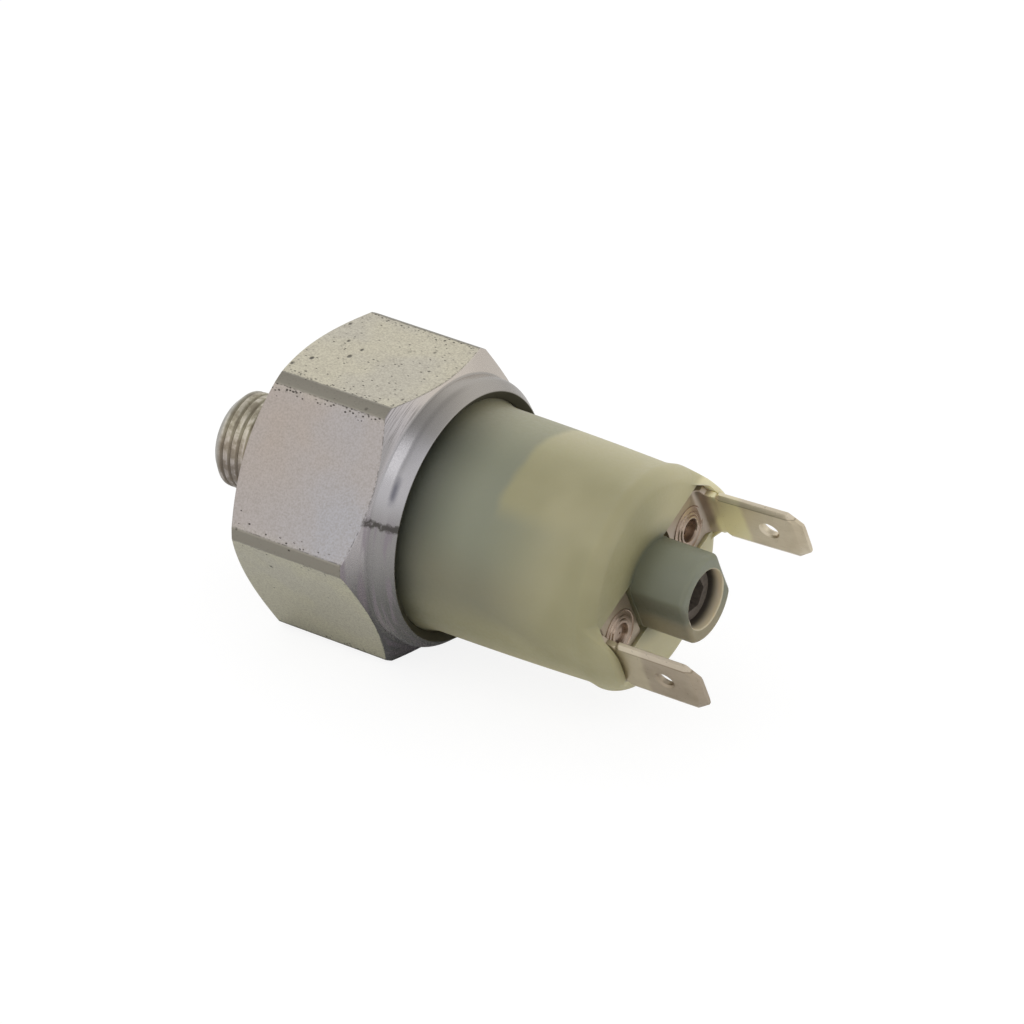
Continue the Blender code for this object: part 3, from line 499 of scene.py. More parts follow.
def cap_rows(angle):
    """The cap's rows at one angle: shoulder, barrel, rim or lip, the lip's inner face and the end."""
    waist_x = LAND_X - CAP_WAIST_BACK
    rim_x = LAND_X - CAP_RIM_ROUND
    foot_x = BEND_X + LIP_REACH * math.cos(LIP_BEND)
    foot_r = CAP_ROOT_R + CAP_FOOT_RISE
    rows = [(POLE_R, BEND_X), (COLLAR_R - LIP_WALL - 0.1 * MM, BEND_X)]
    rows += [(foot_r + 0.01 * MM, foot_x), (foot_r, foot_x)]
    for share in np.linspace(0.03, 1.0, 24):
        x = foot_x + (waist_x - foot_x) * share
        near_foot = max(0.0, 1.0 - (x - foot_x) / CAP_FOOT_LENGTH)
        waist = (CAP_ROOT_R - CAP_WAIST_R) * share ** 2.2
        rows.append((CAP_ROOT_R - waist + CAP_FOOT_RISE * near_foot ** 2, x))
    for share in np.linspace(0.2, 1.0, 6):
        x = waist_x + (rim_x - waist_x) * share
        rows.append((CAP_WAIST_R + (CAP_RIM_R - CAP_WAIST_R) * share ** 1.6, x))
    stand = fence_share(angle)
    top_x = LAND_X + (FENCE_RISE - LAND_RISE) * stand
    rounding = CAP_RIM_ROUND + (FENCE_ROUND - CAP_RIM_ROUND) * min(1.0, 2 * stand)
    outer_r = CAP_RIM_R - FENCE_DRAFT * stand
    rows += line((CAP_RIM_R, rim_x), (outer_r, top_x - rounding), np.linspace(0.1, 1.0, 10))
    rows += [(outer_r - rounding * c, top_x - rounding * s) for c, s in quarter(8, 1)]
    crown_r = outer_r - rounding
    inner_r = min((BLADE_OUTER_U + FENCE_TO_BLADE) / abs(math.cos(angle - TURN)), crown_r - 0.05 * MM)
    ease = min(0.2 * MM, (top_x - LAND_X) / 2)
    rows += [(inner_r + min(ease, (crown_r - inner_r) / 2), top_x), (inner_r, top_x - ease)]
    rows += line((inner_r, top_x - ease), (inner_r, LAND_X), np.linspace(0.25, 1.0, 4))
    return rows + [(inner_r * 0.6, LAND_X), (POLE_R, LAND_X)]


def cap_angles():
    """Angles round the cap, closer together over the lips' ends."""
    offsets = TERMINAL_TURN_DEG + np.concatenate([np.arange(-28.0, 28.01, 0.8), np.arange(30.0, 150.1, 2.0)])
    return np.radians(np.concatenate([offsets, offsets + 180.0]))


def barrel_mesh():
    """The barrel with the lip outside each blade."""
    return tidy(closed(profile_mesh("barrel", cap_rows, cap_angles())), 40.0)


def channel_mesh():
    """The channel across the end, between the two lips, that the terminals' plates lie in."""
    reach = BLADE_OUTER_U + FENCE_TO_BLADE
    corners = []
    for x in (END_X - CHANNEL_DEPTH, LAND_X + FENCE_RISE):
        for u, v in ((-reach, -1), (reach, -1), (reach, 1), (-reach, 1)):
            corners.append(side_point(1, u, v * CHANNEL_HALF_WIDTH, x))
    sides = [(0, 1, 5, 4), (1, 2, 6, 5), (2, 3, 7, 6), (3, 0, 4, 7)]
    return tidy(new_mesh("channel", corners, [(3, 2, 1, 0), (4, 5, 6, 7)] + sides), 30.0)


def boss_mesh():
    """The boss: round with two flats, rounded at its mouth, with a fillet at its root and a blind bore."""
    angles = np.arange(BOSS_COLUMNS) * 2 * math.pi / BOSS_COLUMNS
    flat = BOSS_FLATS / 2 / np.maximum(np.abs(np.cos(angles)), 1e-6)
    outline = smooth_min(np.full(BOSS_COLUMNS, BOSS_R), flat, BOSS_BLEND)
    start_x = LAND_X + BOSS_ROOT_ROUND
    rows = [(POLE_R, END_X - MM), (outline + BOSS_ROOT_ROUND, END_X - MM)]
    root_x = LAND_X - 0.02 * MM
    rows += [(outline + BOSS_ROOT_ROUND * s, root_x + BOSS_ROOT_ROUND * c) for c, s in quarter(6)]
    rows += line((outline, start_x), (outline, MOUTH_X - BOSS_ROUND), np.linspace(0.1, 1.0, 8))
    rows += [(outline - BOSS_ROUND * c, MOUTH_X - BOSS_ROUND * s) for c, s in quarter(7, 1)]
    rows += [(BORE_R + BORE_ROUND * s, MOUTH_X - BORE_ROUND * c) for c, s in quarter(5)]
    rows += [(BORE_R, MOUTH_X - BORE_DEPTH), (POLE_R, MOUTH_X - BORE_DEPTH)]
    return tidy(closed(grid_mesh("boss", turned_points(rows, TURN + angles))), 40.0)


def smooth_min(a, b, blend):
    share = np.clip(0.5 + 0.5 * (b - a) / blend, 0.0, 1.0)
    return b + (a - b) * share - blend * share * (1 - share)


def side_point(side, u, v, x):
    """A point from its offsets along the terminals, across them and along the axis. Side is 1 or -1."""
    turn = TURN if side > 0 else TURN + math.pi
    y = u * math.cos(turn) - v * math.sin(turn)
    z = u * math.sin(turn) + v * math.cos(turn)
    return (x + SHIFT_X, y, HALF_FLATS + z)


def closed(mesh):
    """Fills the open ends of a mesh."""
    shape = bmesh.new()
    shape.from_mesh(mesh)
    bmesh.ops.holes_fill(shape, edges=[e for e in shape.edges if e.is_boundary], sides=0)
    shape.to_mesh(mesh)
    shape.free()
    return mesh


def join_meshes(name, base, others):
    """Joins closed meshes into one: each other is a (mesh, operation) pair."""
    obj = new_object(name, base)
    extra = []
    for mesh, operation in others:
        other = new_object(mesh.name, mesh)
        extra.append(other)
        step = obj.modifiers.new(mesh.name, "BOOLEAN")
        step.operation = operation
        step.object = other
    bpy.context.view_layer.update()
    made = bpy.data.meshes.new_from_object(obj.evaluated_get(bpy.context.evaluated_depsgraph_get()))
    for other in extra + [obj]:
        bpy.data.objects.remove(other, do_unlink=True)
    return made


def strip_path(lean, tip_x):
    """The strip's middle line as (u, station, normal) points, from the plate's end to the tip."""
    middle_r = BLADE_BEND_R + SHEET_THICK / 2
    bend_u = BLADE_OUTER_U - SHEET_THICK - BLADE_BEND_R
    bend_x = PLATE_TOP_X + BLADE_BEND_R
    path = []
    for u in np.linspace(PLATE_INNER_U, bend_u, 10)[:-1]:
        path.append((u, PLATE_TOP_X - SHEET_THICK / 2, (0.0, -1.0)))
    final = 90.0 + math.degrees(math.atan(lean))
    for k in range(9):
        angle = math.radians(-90.0 + (180.0 - final) * k / 8)
        normal = (math.cos(angle), math.sin(angle))
        path.append((bend_u + middle_r * normal[0], bend_x + middle_r * normal[1], normal))
    u0, x0, normal = path[-1]
    along = (-normal[1], normal[0])
    length = tip_x - x0
    stops = list(np.linspace(0.0, length - TIP_CHAMFER_LENGTH, 44)[1:])
    stops += list(np.linspace(length - TIP_CHAMFER_LENGTH, length, 9)[1:])
    for s in stops:
        path.append((u0 + along[0] * s, x0 + along[1] * s, normal))
    return path


def strip_width(x, tip_x, on_plate):
    """Half the strip's width at a station."""
    half = BLADE_WIDTH / 2
    neck = NECK_WIDTH / 2
    neck_x = PLATE_TOP_X + BLADE_BEND_R
    if on_plate or x < neck_x:
        return half
    shoulder = neck_x + NECK_LENGTH - SHOULDER_LENGTH
    if x < shoulder:
        return max(neck, half - (x - neck_x))
    if x < shoulder + SHOULDER_LENGTH:
        share = (x - shoulder) / SHOULDER_LENGTH
        return neck + (half - neck) * (share * share * (3 - 2 * share))
    past_taper = max(0.0, x - tip_x + TIP_CHAMFER_LENGTH)
    return half + (TIP_WIDTH / 2 - half) * past_taper / TIP_CHAMFER_LENGTH


def strip_section(half, thick, coin):
    """The strip's section as (across, through) points, with its long edges coined."""
    ease = 0.06 * MM
    corner = [(half, thick - coin - ease), (half - ease, thick - coin)]
    corner += [(half - EDGE_COIN, thick - 0.2 * coin), (half - EDGE_COIN - ease, thick)]
    section = [(half, -(thick - coin - ease))] + corner
    section += [(-v, t) for v, t in corner[::-1]]
    section += [(-v, -t) for v, t in corner]
    return section + [(v, -t) for v, t in corner[:0:-1]]


def terminal_mesh(name, side, reach, lean):
    """The bent strip with its coined edges and tapered tip."""
    tip_x = PLATE_TOP_X + reach
    taper_x = tip_x - TIP_CHAMFER_LENGTH
    rows = []
    for u, x, normal in strip_path(lean, tip_x):
        half = strip_width(x, tip_x, normal[1] < -0.99)
        thick = SHEET_THICK / 2
        coin = COIN_DEPTH
        if x > taper_x:
            share = (x - taper_x) / TIP_CHAMFER_LENGTH
            thick += (TIP_THICK / 2 - thick) * share
            coin *= 1 - 0.7 * share
        if x < PLATE_TOP_X + 2 * MM:
            coin *= 0.35
        section = strip_section(half, thick, coin)
        rows.append([side_point(side, u + normal[0] * t, v, x + normal[1] * t) for v, t in section])
    return tidy(closed(grid_mesh(name, np.array(rows))), 30.0)


def cut_round(mesh, middle, direction, radius, mouth, depth):
    """Cuts a round hole with eased mouths through a mesh."""
    over = 0.3 * MM
    rows = [(mouth + over, -depth - over), (radius, -depth + mouth - radius)]
    rows += [(radius, depth - mouth + radius), (mouth + over, depth + over)]
    angles = [2 * math.pi * k / HOLE_COLUMNS for k in range(HOLE_COLUMNS)]
    shape = bmesh.new()
    rings = []
    for r, h in rows:
        rings.append([shape.verts.new((r * math.cos(a), r * math.sin(a), h)) for a in angles])
    for a, b in zip(rings, rings[1:]):
        for k in range(HOLE_COLUMNS):
            after = (k + 1) % HOLE_COLUMNS
            shape.faces.new((a[k], a[after], b[after], b[k]))
    shape.faces.new(rings[0][::-1])
    shape.faces.new(rings[-1])
    bmesh.ops.recalc_face_normals(shape, faces=shape.faces)
    turn = Vector(direction).to_track_quat("Z", "Y").to_matrix().to_4x4()
    bmesh.ops.transform(shape, matrix=Matrix.Translation(middle) @ turn, verts=shape.verts)
    tool = bpy.data.meshes.new("hole_tool")
    shape.to_mesh(tool)
    shape.free()
    return join_meshes("cut", mesh, [(tool, "DIFFERENCE")])


def rivet_rows(hollow_r, floor_depth, dome):
    """The spun head of a hollow rivet: a thin stepped flange, a low roll, and the hollow with its floor."""
    base = PLATE_TOP_X
    floor_x = base - floor_depth
    top_x = base + RIVET_ROLL_HEIGHT
    thin = 0.35 * RIVET_ROLL_HEIGHT
    groove = 0.06 * MM
    foot = floor_x - 0.04 * MM
    under = base - 0.03 * MM
    points = [(POLE_R, foot), (RIVET_SHANK_R, foot), (RIVET_SHANK_R, under), (RIVET_FLANGE_R, under)]
    points += [(RIVET_FLANGE_R, base + thin), (RIVET_FLANGE_R - 2 * groove, base + thin * 1.2)]
    points += [(RIVET_FLANGE_R - 3 * groove, base + thin * 0.3)]
    points += [(RIVET_STEP_R + groove, base + thin * 0.5), (RIVET_STEP_R, base + thin * 1.7)]
    points += [(RIVET_ROLL_R + groove, base + thin * 1.8), (RIVET_ROLL_R, base + thin)]
    points += [(RIVET_ROLL_R - groove, top_x), (hollow_r + groove, top_x)]
    points += [(hollow_r, base + thin), (hollow_r * 0.94, floor_x)]
    for share in np.linspace(0.8, 0.12, 7):
        points.append((hollow_r * share, floor_x + dome * (1 - share ** 2)))
    points += [(hollow_r * 0.10, floor_x + dome * 0.6), (POLE_R, floor_x + dome * 0.6)]
    radii = [0.03 * MM if 4 <= k < 14 else 0.0 for k in range(len(points))]
    return fillet(points, radii, 3)


def spring_station(turns, low_x, high_x):
    """Where the spring wire's middle is after so many turns: closed end coils, an even pitch between."""
    pitch = (high_x - low_x - 2 * SPRING_END_PITCH) / (SPRING_COILS - 2)
    if turns <= 1:
        return low_x + SPRING_END_PITCH * turns
    if turns >= SPRING_COILS - 1:
        return high_x - SPRING_END_PITCH * (SPRING_COILS - turns)
    return low_x + SPRING_END_PITCH + pitch * (turns - 1)


def spring_mesh(name, first, last):
    """The spring's wire from one count of turns to another."""
    low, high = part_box("range_spring")
    rows = []
    for turns in np.linspace(first, last, round((last - first) * SPRING_STEPS) + 1):
        angle = 2 * math.pi * turns
        x = spring_station(turns, low.x + SPRING_WIRE_R, high.x - SPRING_WIRE_R)
        row = []
        for k in range(SPRING_SIDES):
            around = 2 * math.pi * k / SPRING_SIDES
            radius = SPRING_MEAN_R + SPRING_WIRE_R * math.cos(around)
            y = radius * math.cos(angle)
            row.append((x + SPRING_WIRE_R * math.sin(around), y, HALF_FLATS + radius * math.sin(angle)))
        rows.append(row)
    return tidy(closed(grid_mesh(name, np.array(rows))), 50.0)


def build_spring(material):
    """The spring in two halves."""
    low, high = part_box("range_spring")
    start, middle, finish = ((x, 0.0, HALF_FLATS) for x in (
        low.x + 2 * SPRING_WIRE_R, (low.x + high.x) / 2, high.x - 2 * SPRING_WIRE_R))
    half = SPRING_COILS / 2
    halves = (("spring_inner", 0.0, "plunger_group", "housing", start, middle),
              ("spring_outer", half, "housing", "spring_seat_group", middle, finish))
    for name, first, body_a, body_b, from_point, to_point in halves:
        obj = add_object(name, spring_mesh(name, first, first + half), material)
        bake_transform(obj)
        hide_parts("range_spring")


def colour(tint):
    """A linear colour from display red, green and blue between 0 and 255."""
    shares = [c / 255 for c in tint]
    return [c / 12.92 if c <= 0.04045 else ((c + 0.055) / 1.055) ** 2.4 for c in shares] + [1.0]


def grey(value):
    return [value, value, value, 1.0]


class Nodes:
    """Short calls for building a material's or the world's nodes."""

    def __init__(self, owner):
        self.owner = owner
        owner.use_nodes = True
        self.tree = owner.node_tree
        self.surface = self.tree.nodes.get("Principled BSDF")
        self.place = self.node("TexCoord").outputs["Object"]

    def put(self, socket, value):
        """Links a socket to another's output, or sets it to a number, a tint or a linear colour."""
        if hasattr(value, "is_output"):
            self.tree.links.new(value, socket)
        else:
            socket.default_value = colour(value) if isinstance(value, tuple) else value

    def node(self, kind, *values, **settings):
        """Adds a node with its settings and its first inputs."""
        made = self.tree.nodes.new("ShaderNode" + kind)
        for key, setting in settings.items():
            setattr(made, key, setting)
        for socket, value in zip(made.inputs, values):
            self.put(socket, value)
        return made

    def fill(self, node, values):
        """Links or sets a node's inputs by their names."""
        for name, value in values.items():
            self.put(node.inputs[name], value)
        return node

    def math(self, operation, a, b=0.0, c=0.0):
        return self.node("Math", a, b, c, operation=operation).outputs[0]

    def times(self, first, *others):
        for other in others:
            first = self.math("MULTIPLY", first, other)
        return first

    def plus(self, a, b):
        return self.math("ADD", a, b)

    def minus(self, a, b):
        return self.math("SUBTRACT", a, b)

    def most(self, a, b):
        return self.math("MAXIMUM", a, b)

    def axes(self, vector=None):
        return self.node("SeparateXYZ", vector or self.place).outputs

    def scaled(self, *scale):
        return self.fill(self.node("Mapping", self.place), {"Scale": list(scale)}).outputs[0]

    def join(self, x, y, z=0.0):
        return self.node("CombineXYZ", x, y, z).outputs[0]

    def noise(self, scale, detail, roughness=0.55, vector=None):
        made = self.node("TexNoise", vector or self.place)
        return self.fill(made, {"Scale": scale, "Detail": detail, "Roughness": roughness}).outputs["Fac"]

    def spots(self, scale, vector):
        made = self.fill(self.node("TexVoronoi", vector), {"Scale": scale})
        return made.outputs["Distance"], made.outputs["Color"]

    def step(self, value, low, high, start=0.0, end=1.0):
        """A smooth change from start to end as value goes from low to high."""
        values = (value, low, high, start, end)
        return self.node("MapRange", *values, interpolation_type="SMOOTHSTEP").outputs[0]

    def mix(self, share, a, b):
        made = self.node("Mix", data_type="RGBA")
        for place, value in ((0, share), (6, a), (7, b)):
            self.put(made.inputs[place], value)
        return made.outputs[2]

    def bump(self, height, distance, strength):
        values = {"Strength": strength, "Distance": distance, "Height": height}
        return self.fill(self.node("Bump"), values).outputs[0]

    def polar(self):
        """Angle about the sender's axis in degrees, radius and station, as sockets."""
        x, y, z = self.axes()
        up = self.minus(z, HALF_FLATS)
        angle = self.times(self.math("ARCTAN2", up, y), 180.0 / math.pi)
        radius = self.math("SQRT", self.plus(self.times(up, up), self.times(y, y)))
        return self.math("FLOORED_MODULO", angle, 360.0), radius, self.minus(x, SHIFT_X)

    def finish(self, base, roughness, metallic, normal):
        values = {"Base Color": base, "Roughness": roughness, "Metallic": metallic, "Normal": normal}
        self.fill(self.surface, values)
        return self.owner


def pits(n, scale, stretch, size, share):
    """Small pits scattered through a surface, one in some of a lattice's cells."""
    distance, cell = n.spots(scale, n.scaled(*stretch))
    chance = n.axes(cell)[0]
    pit = n.step(distance, size * 0.5, size, 1.0, 0.0)
    return n.times(pit, n.math("LESS_THAN", chance, share))


def band(n, value, middle, inner, outer):
    """One within inner of the middle, falling to nothing at outer."""
    return n.step(n.math("ABSOLUTE", n.minus(value, middle)), inner, outer, 1.0, 0.0)


def rise(n, angle, low, high, end=1.0):
    """Grows as the angle passes from low to high, and fades before a full turn so that no seam shows."""
    return n.times(n.step(angle, low, high, 0.0, end), n.step(angle, 290.0, 356.0, 1.0, 0.0))


def flat_tints(n, angle, radius, station):
    """Zinc's tints on the flats, partly painted reflection: each flat's tone follows the way it faces, beige
    above, pink turning lilac on the near flat, greenish below and lighter towards the front.
    """
    on_hexagon = n.step(radius, HALF_FLATS - 0.8 * MM, HALF_FLATS - 0.1 * MM)
    near = n.times(band(n, angle, 150.0, 24.0, 34.0), on_hexagon)
    low = n.times(n.step(angle, 176.0, 186.0), on_hexagon)
    base = n.mix(near, ZINC_TOP, ZINC_NEAR)
    # Painted reflection: the low flat lighter towards the front
    low_base = n.mix(n.step(station, 0.0, HEX_LENGTH), ZINC_LOW, ZINC_LOW_FRONT)
    base = n.mix(low, base, low_base)
    # Painted reflection: the near flat turns lilac towards the front and its lower side
    cool = n.plus(n.step(station, 0.0, HEX_LENGTH, 0.0, 0.5), n.step(angle, 140.0, 172.0, 0.0, 0.4))
    cool = n.times(cool, near)
    drift = n.step(n.noise(150.0, 2.0), 0.42, 0.64, 0.0, 0.22)
    base = n.mix(n.plus(drift, cool), base, ZINC_LILAC)
    strip = n.step(radius, HEX_CORNER_R - 0.10 * MM, HEX_CORNER_R - 0.04 * MM)
    return n.mix(strip, base, ZINC_STRIP), strip


def turned_tints(n, angle, radius, station):
    """Zinc's tints on the cone, collar and lip: silver, lighter on top with a painted highlight band,
    painted shade in blue grey low down, on the collar and on the lip's end, and plum bands low down.
    """
    # Painted shade: the lower side of the cone, collar and lip is darker
    base = n.mix(rise(n, angle, 166.0, 200.0), ZINC_TURNED, ZINC_SHADED_LOW)
    # Painted light: the top of the cone, collar and lip is lighter
    lit_top = n.most(n.step(angle, 92.0, 124.0, 0.85, 0.0), n.step(angle, 290.0, 356.0, 0.0, 0.85))
    base = n.mix(lit_top, base, ZINC_LIT_TOP)
    # Painted shade over the collar and lip
    collar = n.step(station, COLLAR_X - 0.05 * MM, COLLAR_X + 0.05 * MM)
    base = n.mix(n.times(collar, 0.6), base, ZINC_COLLAR_SHADE)
    bands = n.noise(1.0, 2.0, 0.5, n.join(n.times(angle, 0.03), n.times(station, 1500.0)))
    plum = n.times(n.step(bands, 0.46, 0.62, 0.0, 0.75), rise(n, angle, 152.0, 166.0))
    base = n.mix(plum, base, ZINC_PLUM)
    # Painted highlight: a pale band round the lip and collar near 138 degrees
    past_cone = n.step(station, COLLAR_X - 0.2 * MM, COLLAR_X + 0.2 * MM)
    base = n.mix(n.times(band(n, angle, 138.0, 9.0, 24.0), past_cone, 0.45), base, ZINC_PAINTED_HIGHLIGHT)
    # Painted shade where the lamp's reflection crosses the cone
    on_cone = n.step(station, COLLAR_X - 0.3 * MM, COLLAR_X, 0.4, 0.0)
    base = n.mix(n.times(band(n, angle, 140.0, 6.0, 20.0), on_cone), base, ZINC_COLLAR_SHADE)
    # Painted shade on the lip's end face, where it faces the gap
    gap = n.step(radius, LIP_END_R - 0.05 * MM, LIP_END_R + 0.05 * MM, 1.0, 0.0)
    return n.mix(gap, base, ZINC_GAP_SHADE), gap


def zinc_pits(n, angle, radius, station, strip, flat):
    """Dark pits over the top flat and beside the strips, with few elsewhere."""
    beside = n.times(band(n, angle, 126.5, 0.5, 3.0), n.step(station, 0.0, 0.6 * HEX_LENGTH, 1.0, 0.15))
    top = n.step(angle, 112.0, 122.0, 1.0, 0.03)
    share = n.times(n.most(top, n.times(beside, 0.9)), 0.34)
    large = pits(n, 1300.0, (0.8, 0.5, 1.0), 0.27, share)
    small = pits(n, 3000.0, (0.6, 1.0, 0.8), 0.28, share)
    by_strip = n.step(radius, HEX_CORNER_R - 0.55 * MM, HEX_CORNER_R - 0.12 * MM)
    by_strip = n.times(by_strip, n.step(angle, 150.0, 175.0, 1.0, 0.35))
    chips = pits(n, 3600.0, (0.7, 1.0, 1.0), 0.40, n.times(by_strip, 0.75))
    chips = n.times(chips, n.minus(1.0, n.times(strip, 0.9)))
    clusters = n.step(n.noise(330.0, 2.0), 0.36, 0.50, 0.35, 1.0)
    pit = n.times(n.most(n.times(n.most(large, small), clusters), chips), flat)
    return n.times(pit, n.step(radius, SEAT_FACE_R - 0.5 * MM, SEAT_FACE_R + 0.3 * MM, 0.15, 1.0))


def zinc_wear(n, radius, edge_gap, flat):
    """Worn zinc along the edge of the cone, and fine cracks beside the strips."""
    rim = n.times(n.step(edge_gap, 0.04 * MM, 0.20 * MM, 1.0, 0.0), flat)
    worn = n.times(rim, n.step(n.noise(3200.0, 2.0), 0.46, 0.58))
    crack = n.times(band(n, radius, HEX_CORNER_R - 0.09 * MM, 0.01 * MM, 0.04 * MM), flat)
    return n.most(worn, n.times(crack, n.step(n.noise(2200.0, 3.0), 0.40, 0.60, 0.2, 0.9)))


def zinc_stains(n, base, angle, station):
    """The blue-black streak on the lip and the dark smear below it."""
    cloud = n.noise(1400.0, 3.0, 0.6)
    wobble = n.math("MULTIPLY_ADD", cloud, 5.0, angle)
    streak = band(n, wobble, STREAK_ANGLE + 2.5, 1.0, 8.5)
    streak = n.times(streak, band(n, station, STREAK_X, 0.0, 0.48 * MM))
    base = n.mix(n.times(streak, 0.75), base, ZINC_STREAK)
    smear = band(n, wobble, SMEAR_ANGLE + 2.5, 0.8, 2.2)
    smear = n.times(smear, n.step(station, COLLAR_X - 0.6 * MM, COLLAR_X - 0.1 * MM))
    return n.mix(n.times(smear, n.step(cloud, 0.30, 0.46, 0.25, 1.0), 0.8), base, ZINC_PIT)


def zinc_material():
    """Zinc plate with dark pits, tool marks on the turned faces, a smear and a streak."""
    n = Nodes(bpy.data.materials.new("zinc_plate"))
    angle, radius, station = n.polar()
    slope = math.tan(math.radians(FRONT_CHAMFER_DEG))
    edge_gap = n.minus(HEX_LENGTH + HEX_CORNER_R * slope, n.math("MULTIPLY_ADD", radius, slope, station))
    turned = n.step(edge_gap, 0.02 * MM, 0.05 * MM, 1.0, 0.0)
    flat = n.minus(1.0, turned)
    base, strip = flat_tints(n, angle, radius, station)
    grain = n.noise(5200.0, 4.0, 0.65)
    base = n.mix(n.step(grain, 0.35, 0.7, 0.0, 0.45), base, ZINC_GRAIN)
    turned_base, gap = turned_tints(n, angle, radius, station)
    base = n.mix(turned, base, turned_base)
    rings = n.noise(1.0, 5.0, 0.7, n.join(n.times(station, 16000.0), n.times(angle, 0.03)))
    scored = n.times(band(n, angle, 120.0, 5.0, 16.0), n.step(rings, 0.50, 0.60), turned)
    on_cone = n.step(station, COLLAR_X - 0.1 * MM, COLLAR_X, 1.0, 0.0)
    base = n.mix(n.times(scored, on_cone, 0.5), base, ZINC_PIT)
    pit = zinc_pits(n, angle, radius, station, strip, flat)
    dark = n.most(n.times(pit, 0.85), n.times(zinc_wear(n, radius, edge_gap, flat), 0.6))
    base = zinc_stains(n, n.mix(dark, base, ZINC_PIT), angle, station)
    height = n.plus(n.times(grain, 0.35, flat), n.times(pit, -2.0))
    height = n.plus(height, n.times(rings, turned, 0.16))
    rough = n.minus(n.step(grain, 0.2, 0.8, 0.32, 0.46), n.times(turned, 0.11))
    rough = n.most(rough, n.times(gap, turned, 0.8))
    return n.finish(base, rough, 1.0, n.bump(height, 0.03 * MM, 0.6))


def thread_material():
    """Worn steel in the thread, painted light on top and painted shade below, brown in the roots, a painted
    glint beside the crests and paler at the end.
    """
    n = Nodes(bpy.data.materials.new("thread_zinc"))
    angle, radius, station = n.polar()
    crest = n.plus(STUD_END_R, n.times(n.minus(station, STUD_END_X), STUD_TAPER))
    depth = n.minus(crest, radius)
    root = n.step(depth, 0.4 * THREAD_DEPTH, 0.95 * THREAD_DEPTH)
    grime = n.noise(900.0, 4.0, 0.6)
    # Painted light on the thread's top and painted shade on its lower side
    base = n.mix(rise(n, angle, 135.0, 160.0), THREAD_LIT_TOP, THREAD_PALE)
    base = n.mix(rise(n, angle, 160.0, 188.0), base, THREAD_SHADED_LOW)
    base = n.mix(n.step(grime, 0.42, 0.66, 0.0, 0.65), base, THREAD_GRIME)
    base = n.mix(n.times(root, 0.45), base, THREAD_ROOT)
    # Painted glint: thin bright lines beside the crests
    painted_glint = band(n, depth, 0.25 * THREAD_DEPTH, 0.0, 0.2 * THREAD_DEPTH)
    base = n.mix(n.times(painted_glint, n.step(grime, 0.40, 0.55, 1.0, 0.1), 0.5), base, THREAD_PAINTED_GLINT)
    ending = n.step(station, STUD_END_X + 0.6 * MM, STUD_END_X + 1.1 * MM, 0.7, 0.0)
    base = n.mix(ending, base, THREAD_END)
    normal = n.bump(n.noise(6000.0, 3.0), 0.02 * MM, 0.6)
    return n.finish(base, n.step(grime, 0.3, 0.7, 0.34, 0.5), 1.0, normal)


def barrel_tints(n, angle, station):
    """Nylon's tints along the barrel: the cup's painted shadow, the pale end, and painted light on the far
    top and bottom sides and on the upper lip.
    """
    wander = n.times(n.minus(n.noise(220.0, 2.0, 0.5), 0.5), 1.6 * MM)
    along = n.plus(station, wander)
    clear = n.step(along, CUP_STATION - 0.5 * MM, CUP_STATION + 0.5 * MM)
    soft = n.step(along, CUP_STATION - 1.5 * MM, CUP_STATION + 9.5 * MM)
    clear = n.math("MULTIPLY_ADD", rise(n, angle, 130.0, 144.0), n.minus(soft, clear), clear)
    under = n.times(rise(n, angle, 184.0, 208.0), n.step(station, BEND_X, CUP_STATION + 4 * MM, 0.15, 0.9))
    clear = n.most(clear, under)
    # Painted light: the barrel's far top and bottom sides are paler
    thin = n.most(n.step(angle, 60.0, 118.0, 0.85, 0.0), n.step(angle, 205.0, 235.0, 0.0, 0.85))
    # Painted shadow of the cup under the nylon, darkest by the lip and browner low down
    dark = n.mix(n.step(station, BEND_X, BEND_X + 8 * MM), NYLON_SHADE, NYLON_CUP_SHADOW)
    brown = n.times(rise(n, angle, 150.0, 182.0, 0.6), n.step(station, BEND_X, BEND_X + 6 * MM))
    dark = n.mix(brown, dark, NYLON_BROWN)
    dark = n.mix(n.times(thin, 0.5), dark, NYLON_EDGE_LIGHT)
    pale = n.mix(n.step(n.noise(110.0, 2.0), 0.35, 0.65), NYLON_PALE, NYLON_DEEP)
    base = n.mix(clear, dark, n.mix(thin, pale, NYLON_EDGE_LIGHT))
    # Painted light on the upper lip
    on_lip = n.step(station, LAND_X + 0.1 * MM, LAND_X + 0.6 * MM)
    return n.mix(n.times(on_lip, band(n, angle, TERMINAL_TURN_DEG, 28.0, 40.0), 0.9), base, NYLON_LIP_LIGHT)


